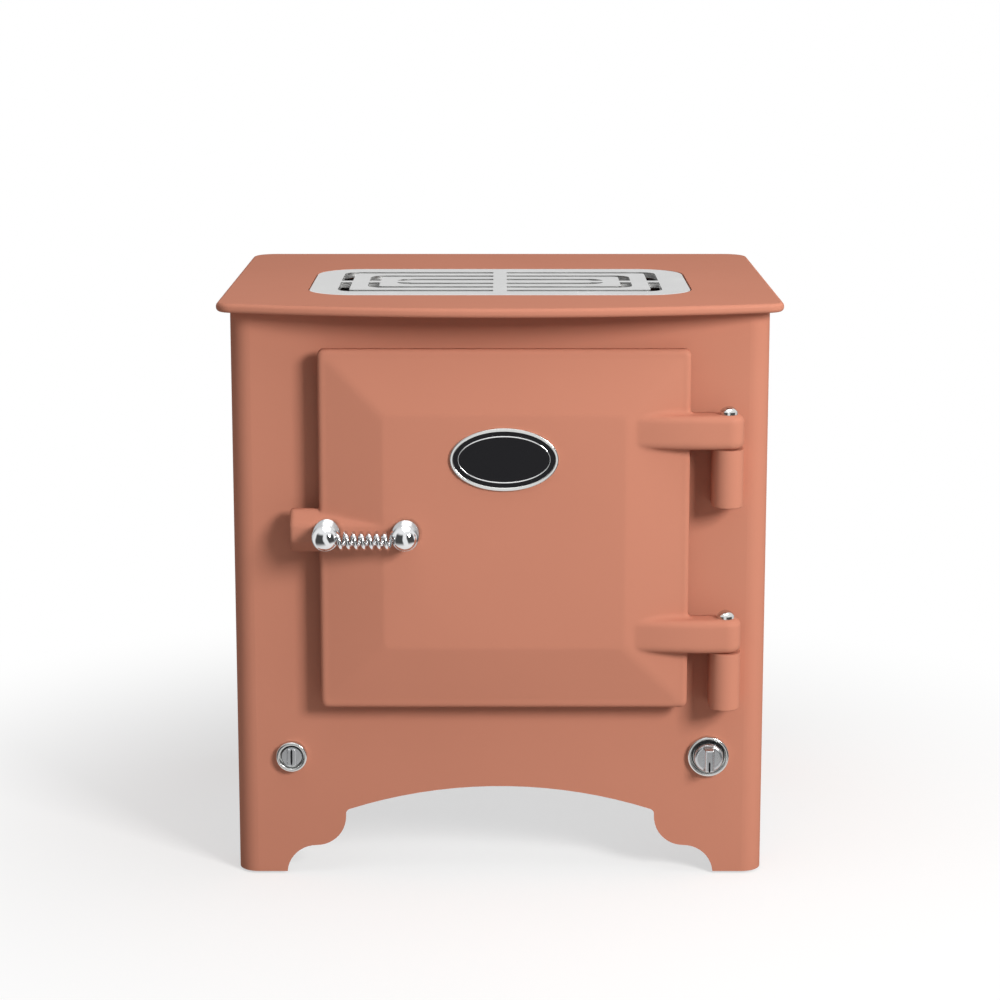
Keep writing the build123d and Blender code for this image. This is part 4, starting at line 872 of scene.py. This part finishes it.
@dataclass
class Controls:
    """The two turn controls and the switches behind them.

    Attributes:
        turners: The two controls.
        bezel_floor: Thickness of a bezel's floor.
        shade_ring_width: Half-width of a dark ring at its bottom and top, as shares of the space.
        shade_ring_height: Half-thickness of a dark ring.
        shade_ring_sections: Sections round a dark ring.
        shade_ring_sides: Points round each section.
        line_width: Half-width of the dark fill in a line.
        line_fill: Share of the groove's depth that the fill takes.
        line_sunk: Share of the groove's depth at which the fill's middle lies.
        line_rings: Sections along a fill.
        line_sides: Points round each section.
    """

    turners: Tuple[Turner, ...] = (
        Turner("knob", "knob_bezel", "thermostat_knob", Body.KNOB, 0.0022, 0.0008, (-0.78, -0.06)),
        Turner("button", "button_bezel", "selector_button", Body.SELECTOR, 0.0015, 0.0012,
               (-0.80, 0.80)),
    )
    bezel_floor: float = 0.0010
    shade_ring_width: Pair = (0.10, 0.48)
    shade_ring_height: float = 0.0002
    shade_ring_sections: int = 72
    shade_ring_sides: int = 8
    line_width: float = 0.00078
    line_fill: float = 0.9
    line_sunk: float = 0.62
    line_rings: int = 25
    line_sides: int = 12

    def painted_shade_ring(self, turner: Turner) -> None:
        """Lays a dark ring of painted shade on a bezel's floor, in the space round what turns in
        it.

        The ring is a flat oval section carried round a circle. It is wide at the top, where the
        bezel's lip would shade the gap most, and narrow below.

        Args:
            turner: The control.
        """
        _, middle, half = span(turner.grip)
        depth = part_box(turner.bezel)[1].y - self.bezel_floor - self.shade_ring_height
        radius = half.x + turner.gap / 2
        turn = full_turn(self.shade_ring_sections)
        path = front_oval(turn, (middle.x, depth, middle.z), radius, radius)
        narrow, wide = self.shade_ring_width
        # Painted shade: the dark ring is widest at the top, where the lip shades the gap most.
        width = turner.gap * (narrow + (wide - narrow) * (1 + np.sin(turn)) / 2)
        across = np.tile(FRONT, (len(turn), 1))
        grid = tube(path, across, width[:, None, None], self.shade_ring_height, self.shade_ring_sides)
        # The dark ring stands in for the shade in the gap: it is painted shade, not a part.
        ring = add_piece(f"{turner.name}_well", [grid], Palette.moulding, Body.STOVE, closed=True)

    def line(self, turner: Turner) -> None:
        """Fills the groove in a grip with dark.

        The fill is an oval section along the groove. From end to end, t = -1 to 1, its size is
        the square root of 1 - t to the eighth, so it is even and rounds off at both its ends.

        Args:
            turner: The control.
        """
        low, middle, half = span(turner.grip)
        start, stop = turner.ends
        along = np.linspace(-1, 1, self.line_rings)
        swell = np.maximum((1 - along ** 8) ** 0.5, 0.02)[:, None]
        height = middle.z + half.z * (start + (stop - start) * (along + 1) / 2)
        turn = full_turn(self.line_sides)
        wide = self.line_width * swell * np.cos(turn)
        deep = turner.groove / 2 * self.line_fill * swell * np.sin(turn)
        grid = np.stack([middle.x + wide, low.y + turner.groove * self.line_sunk + deep,
                         np.broadcast_to(height[:, None], wide.shape)], axis=-1)
        fill = add_piece(f"{turner.name}_line", [grid], Palette.enamel, turner.body)

    def build(self, nodes: Nodes) -> None:
        """Dresses the controls and adds their rings of painted shade and their lines."""
        dress(nodes, {
            Palette.trim: [turner.bezel for turner in self.turners],
            Palette.turned: [turner.grip for turner in self.turners],
            Palette.moulding: ["thermostat", "selector_switch"],
            Palette.zinc_bright: ["thermostat_spindle", "selector_spindle"],
            Palette.copper: ["thermostat_sensor"],
            Palette.pale_moulding: ["terminal_block"],
        })
        for turner in self.turners:
            self.painted_shade_ring(turner)
        for turner in self.turners:
            self.line(turner)


@dataclass
class CoilHandle:
    """The open coil between the two handle posts.

    Attributes:
        wire: Radius of the wire.
        turns: Turns of the coil.
        run_in: Share of the length over which each end bends from straight into the coil.
        steps: Rings along the wire for each turn.
        sides: Points round the wire.
    """

    wire: float = 0.0018
    turns: int = 7
    run_in: float = 0.16
    steps: int = 44
    sides: int = 14

    def path(self) -> Tuple[Array, Array]:
        """Centre line of the wire and its outward directions.

        The wire moves evenly along X while it turns about the coil's axis. The rate of turning
        rises from nothing at each end, by a smooth step, so that both ends leave straight out of
        their posts.

        Returns:
            Points and unit directions away from the coil's axis, each of shape (n, 3).
        """
        low, middle, half = span("handle_coil")
        radius = half.y - self.wire
        along = np.linspace(0, 1, self.turns * self.steps)
        ease = np.clip(np.minimum(along, 1 - along) / self.run_in, 0, 1)
        rate = ease * ease * (3 - 2 * ease)
        swept = np.concatenate([[0], np.cumsum((rate[1:] + rate[:-1]) / 2)])
        angle = FULL_TURN * self.turns * swept / swept[-1]
        outward = np.stack([np.zeros_like(angle), -np.sin(angle), np.cos(angle)], axis=1)
        line = np.stack([low.x + 2 * half.x * along, np.full_like(along, middle.y),
                         np.full_like(along, middle.z)], axis=1)
        return line + radius * outward, outward

    def build(self) -> None:
        """Makes the coil, which stands for its CAD solid."""
        grid = tube(*self.path(), self.wire, self.wire, self.sides)
        coil = add_piece("handle_coil_wire", [grid], Palette.chrome, Body.DOOR)
        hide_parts("handle_coil")


@dataclass
class RopeSeal:
    """The braided rope round the door's liner.

    Attributes:
        corner: Radius of the rope's centre line at the corners.
        corner_steps: Points round each corner.
        strands: Strands that wind each way.
        lay: Length along the rope in which a strand goes once round, roughly.
        yarn_width: Half-width of a strand.
        yarn_height: Half-thickness of a strand.
        yarn_sides: Points round a strand.
        weave: How far a strand rises and dips where it crosses others.
        step: Distance between rings along a strand.
        core_rings: Rings along the core.
        core_sides: Points round the core.
    """

    corner: float = 0.016
    corner_steps: int = 24
    strands: int = 4
    lay: float = 0.022
    yarn_width: float = 0.00155
    yarn_height: float = 0.00075
    yarn_sides: int = 8
    weave: float = 0.00050
    step: float = 0.00052
    core_rings: int = 480
    core_sides: int = 12

    @property
    def thick(self) -> float:
        """Radius of the rope, from its CAD solid."""
        return span("rope_seal")[2].y

    def knots(self) -> Tuple[Array, Array]:
        """Corners of the rounded rectangle that the rope follows.

        Four quarter circles, each about its own corner, joined by straight runs.

        Returns:
            X, Z and the outward X and Z of each point, the first again at the end, of shape
            (n, 4), and the length from the first point to each, of shape (n,).
        """
        _, middle, half = span("rope_seal")
        half_x, half_z = half.x - self.thick - self.corner, half.z - self.thick - self.corner
        quarter = np.repeat(np.arange(4), self.corner_steps) * FULL_TURN / 4
        swing = quarter + np.tile(np.linspace(0, FULL_TURN / 4, self.corner_steps), 4)
        sign_x = np.sign(np.cos(quarter + FULL_TURN / 8))
        sign_z = np.sign(np.sin(quarter + FULL_TURN / 8))
        points = np.stack([middle.x + sign_x * half_x + self.corner * np.cos(swing),
                           middle.z + sign_z * half_z + self.corner * np.sin(swing),
                           np.cos(swing), np.sin(swing)], axis=1)
        points = np.concatenate([points, points[:1]])
        gaps = np.linalg.norm(np.diff(points[:, :2], axis=0), axis=1)
        return points, np.concatenate([[0], np.cumsum(gaps)])

    def loop(self, count: int) -> Tuple[Array, Array]:
        """The rope's centre line: its knots, resampled at equal lengths.

        Args:
            count: Points round the loop.

        Returns:
            Points and outward directions in the loop's plane, each of shape (count, 3).
        """
        points, reach = self.knots()
        depth = span("rope_seal")[1].y
        spot = np.linspace(0, reach[-1], count, endpoint=False)
        x, z, out_x, out_z = (np.interp(spot, reach, column) for column in points.T)
        outward = np.stack([out_x, np.zeros(count), out_z], axis=1)
        outward /= np.linalg.norm(outward, axis=1, keepdims=True)
        return np.stack([x, np.full(count, depth), z], axis=1), outward

    def strand_grids(self, hand: int) -> List[Array]:
        """Tubes of the strands that wind one way.

        A strand circles the rope at an even rate, starting at its share of the turn. Its distance
        from the rope's middle rises and falls as a cosine that peaks at every second crossing, so
        strands of the two hands pass over and under each other.

        Args:
            hand: 1 or -1, the way that the strands wind.

        Returns:
            One closed grid for each strand.
        """
        length = self.knots()[1][-1]
        count, rounds = round(length / self.step), round(length / self.lay)
        line, outward = self.loop(count)
        back = np.array([0.0, 1.0, 0.0])
        spot = np.arange(count) / count
        rise = hand * self.weave * np.cos(FULL_TURN * rounds * self.strands * spot)
        distance = (self.thick - self.yarn_height - self.weave + rise)[:, None]
        grids = []
        for strand in range(self.strands):
            angle = FULL_TURN * (hand * rounds * spot + strand / self.strands)[:, None]
            away = np.cos(angle) * outward + np.sin(angle) * back
            path = line + distance * away
            grids.append(tube(path, away, self.yarn_width, self.yarn_height, self.yarn_sides))
        return grids

    def build(self) -> None:
        """Makes the braid's two hands and the core they cover, which stand for the CAD rope.

        The left hand is a darker copy of the right as painted shade, and the dark core shows as
        painted shade between the strands.
        """
        bore = self.thick - 2 * self.yarn_height - self.weave
        core = tube(*self.loop(self.core_rings), bore, bore, self.core_sides)
        for name, grids, finish in (
            ("seal_rope_right_hand", self.strand_grids(1), Palette.rope),
            ("seal_rope_left_hand", self.strand_grids(-1), Palette.rope_shade),
            ("seal_rope_core", [core], Palette.rope_painted_shade_core),
        ):
            rope = add_piece(name, grids, finish, Body.DOOR, closed=True)
            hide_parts("rope_seal")


@dataclass
class Badge:
    """The bare oval badge: a bright line inside its rim.

    Attributes:
        inset: Distance from the plate's edge to the line.
        line_width: Half-width of the line.
        line_height: Half-height of the line, half of it sunk in the plate.
        line_rings: Sections round the line.
        line_sides: Points round each section.
    """

    inset: float = 0.0042
    line_width: float = 0.00055
    line_height: float = 0.00035
    line_rings: int = 160
    line_sides: int = 8

    def build(self, nodes: Nodes) -> None:
        """Dresses the badge and lays the line.

        The line is an ellipse in the plate's face, of the plate's half-sizes less the inset.
        """
        dress(nodes, {Palette.enamel: ["badge_plate"], Palette.trim: ["badge_rim"]})
        low, middle, half = span("badge_plate")
        path = front_oval(full_turn(self.line_rings), (middle.x, low.y, middle.z),
                          half.x - self.inset, half.z - self.inset)
        across = np.tile(FRONT, (self.line_rings, 1))
        grid = tube(path, across, self.line_width, self.line_height, self.line_sides)
        ring = add_piece("badge_line", [grid], Palette.chrome, Body.DOOR, closed=True)


@dataclass
class Door:
    """The door's casting, liner, fixings, hinge pins and catch.

    Attributes:
        post_dome: Length of the polished dome of a handle post, whose shank is satin.
    """

    post_dome: float = 0.0062

    def build(self, nodes: Nodes) -> None:
        """Dresses the door's nodes."""
        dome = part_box("handle_posts")[0].y + self.post_dome
        dress(nodes, {
            Palette.cast_paint: ["door_panel"],
            Palette.plug: ["door_liner"],
            Palette.stud: ["liner_studs"],
            Palette.blackened: ["liner_nuts"],
            Palette.trim: ["hinge_pins"],
            replace(Palette.chrome, name="post_chrome", satin_from=dome): ["handle_posts"],
            Palette.magnet: ["catch_magnet"],
            Palette.wool: ["door_insulation"],
        })


@dataclass(frozen=True)
class Lamp:
    """One soft lamp.

    Attributes:
        name: Its name.
        place: Where it stands.
        size: Its width and height.
        watts: Its power.
        tint: Its colour.
    """

    name: str
    place: Point
    size: Pair
    watts: float
    tint: Colour = WHITE

    def hang(self, aim: Point) -> None:
        """Adds the lamp, turned to face a point."""
        data = bpy.data.lights.new(self.name, "AREA")
        data.shape = "RECTANGLE"
        data.size, data.size_y = self.size
        data.energy = self.watts
        data.color = self.tint
        made = new_object(self.name, data)
        made.location = self.place
        way = Vector(aim) - Vector(self.place)
        made.rotation_euler = way.to_track_quat("-Z", "Y").to_euler()


@dataclass
class Studio:
    """Pale floor, soft lamps and the camera.

    Attributes:
        eye_height: Camera's height over the floor.
        eye_distance: Camera's distance in front of the casing's face.
        pitch: How far the camera looks down, in degrees.
        lens: Focal length in millimetres.
        sensor: Width of the sensor in millimetres.
        shift: Vertical shift of the picture, as a share of its width.
        aim: The point that the lamps face.
        lamps: The lamps.
        floor_tone: Brightness of the floor.
        floor_bounce: Brightness of the floor in the light that it throws back.
        floor_size: Width of the floor.
        fill: Level of the light from all round.
        dark: Level of the room's dark sides, which bright metal shows.
        side_across: Range of a heading's X over which a side gets dark.
        side_front: Range of how far a heading goes to the front, likewise.
        side_reach: Range of distances over which the floor gets dark at the sides.
        side_rise: Range of a heading's Z over which the sides end.
        behind: Level of the room low behind the stove, which bright metal shows.
        behind_depth: Range of a heading's Y over which the room gets darker behind.
        behind_reach: Range of distances over which the floor gets darker behind.
        behind_rise: Range of a heading's Z over which the darker room behind ends.
        veil: Share of the floor that stays white in the stove's shadow.
        veil_reach: Range of distances over which all of the floor gets white.
    """

    eye_height: float = 0.796
    eye_distance: float = 2.18
    pitch: float = 10.6
    lens: float = 93.6
    sensor: float = 36.0
    shift: float = -0.06
    aim: Point = (0.0, -0.1, 0.28)
    lamps: Tuple[Lamp, ...] = (
        Lamp("key_right", (1.53, -1.97, 1.40), (0.75, 0.75), 60.0, (1.0, 0.985, 0.965)),
        Lamp("over", (0.2, -0.4, 2.3), (1.6, 1.2), 14.0),
    )
    floor_tone: float = 0.94
    floor_bounce: float = 0.36
    floor_size: float = 400.0
    fill: float = 0.30
    dark: float = 0.07
    side_across: Pair = (0.16, 0.34)
    side_front: Pair = (0.02, 0.30)
    side_reach: Pair = (0.32, 0.62)
    side_rise: Pair = (0.34, 0.70)
    behind: float = 0.68
    behind_depth: Pair = (0.0, 0.5)
    behind_reach: Pair = (0.5, 0.9)
    behind_rise: Pair = (0.12, 0.5)
    veil: float = 0.55
    veil_reach: Pair = (0.30, 0.80)

    def camera(self) -> None:
        """Adds the camera at the place that the picture was taken from."""
        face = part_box("casing")[0].y
        data = bpy.data.cameras.new("studio_camera")
        data.lens = self.lens
        data.sensor_width = self.sensor
        data.shift_y = self.shift
        eye = new_object("studio_camera", data)
        eye.location = (0.0, face - self.eye_distance, self.eye_height)
        eye.rotation_euler = (math.radians(90 - self.pitch), 0.0, 0.0)
        bpy.context.scene.camera = eye

    def missing(self, kit: NodeKit, heading: Signal, sides: Signal, back: Signal) -> Signal:
        """How much darker than white bright metal shows the room: its sides in front, and behind.

        Args:
            kit: The tree to add to.
            heading: A direction or place, whose X and Y are used.
            sides: How much the dark sides count.
            back: How much the dark behind counts.

        Returns:
            The share of white that is missing, which is nothing for other rays.
        """
        unit = kit.vector("NORMALIZE", {0: kit.vector("MULTIPLY", {0: heading, 1: IN_PLAN})})
        across, depth = kit.part(unit, Axis.X), kit.part(unit, Axis.Y)
        aside = abs(across).step(*self.side_across) * (0.0 - depth).step(*self.side_front)
        after = depth.step(*self.behind_depth)
        share = aside * sides * (1 - self.dark) + after * back * (1 - self.behind)
        return share * kit.ray(Ray.MIRRORED)

    def floor(self) -> None:
        """Adds the floor: dull, pale, white away from the stove, dark at the room's dark sides."""
        made = bpy.data.materials.new("studio_floor")
        made.use_nodes = True
        kit = NodeKit(made.node_tree)
        place = kit.read(Source.OBJECT)
        reach = kit.vector("LENGTH", {0: place}, "Value")
        gathered = kit.ray(Ray.GATHERED)
        tone = kit.blend(gathered, shade(WHITE, self.floor_tone), shade(WHITE, self.floor_bounce))
        matt = kit.node("ShaderNodeBsdfDiffuse", inputs={"Color": tone})
        missing = self.missing(
            kit, place, reach.step(*self.side_reach), reach.step(*self.behind_reach)
        )
        glow = kit.node("ShaderNodeEmission", inputs={"Strength": 1.0 - missing})
        white = self.veil + reach.step(*self.veil_reach) * (1 - self.veil)
        inputs = {0: white * (1.0 - gathered), 1: matt, 2: glow}
        kit.end("ShaderNodeOutputMaterial", kit.node("ShaderNodeMixShader", inputs=inputs))
        half = self.floor_size / 2
        corners = [(-half, -half, 0), (half, -half, 0), (half, half, 0), (-half, half, 0)]
        mesh = bpy.data.meshes.new("floor")
        mesh.from_pydata(corners, [], [(0, 1, 2, 3)])
        mesh.materials.append(made)
        sheet = new_object("floor", mesh)

    def world(self) -> None:
        """Fills the room with weak light; it shows white, but for dark sides in bright metal."""
        made = bpy.data.worlds.new("studio")
        made.use_nodes = True
        kit = NodeKit(made.node_tree)
        heading = kit.read(Source.HEADING)
        rise = kit.part(heading, Axis.Z)
        missing = self.missing(
            kit, heading, 1.0 - rise.step(*self.side_rise), 1.0 - rise.step(*self.behind_rise)
        )
        level = 1.0 - missing - kit.ray(Ray.GATHERED) * (1 - self.fill)
        inputs = {"Color": (*WHITE, 1.0), "Strength": level}
        kit.end("ShaderNodeOutputWorld", kit.node("ShaderNodeBackground", inputs=inputs))
        bpy.context.scene.world = made

    def build(self) -> None:
        """Adds the whole studio."""
        bpy.context.scene.view_settings.view_transform = "Standard"
        self.camera()
        self.floor()
        self.world()
        for lamp in self.lamps:
            lamp.hang(self.aim)


def clear_startup() -> None:
    """Removes what Blender starts with."""
    for leftover in list(bpy.data.objects):
        bpy.data.objects.remove(leftover)


def main() -> None:
    """Builds the dressed stove and its studio."""
    logging.basicConfig(level=logging.INFO, format="%(name)s %(message)s")
    clear_startup()
    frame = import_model()
    nodes: Dict[str, bpy.types.Object] = frame["nodes"]
    for assembly in (Carcass(), Oven(), Controls(), Door(), Badge()):
        assembly.build(nodes)
        LOG.info("dressed %s", type(assembly).__name__)
    CoilHandle().build()
    RopeSeal().build()
    Studio().build()


if __name__ == "__main__":
    main()
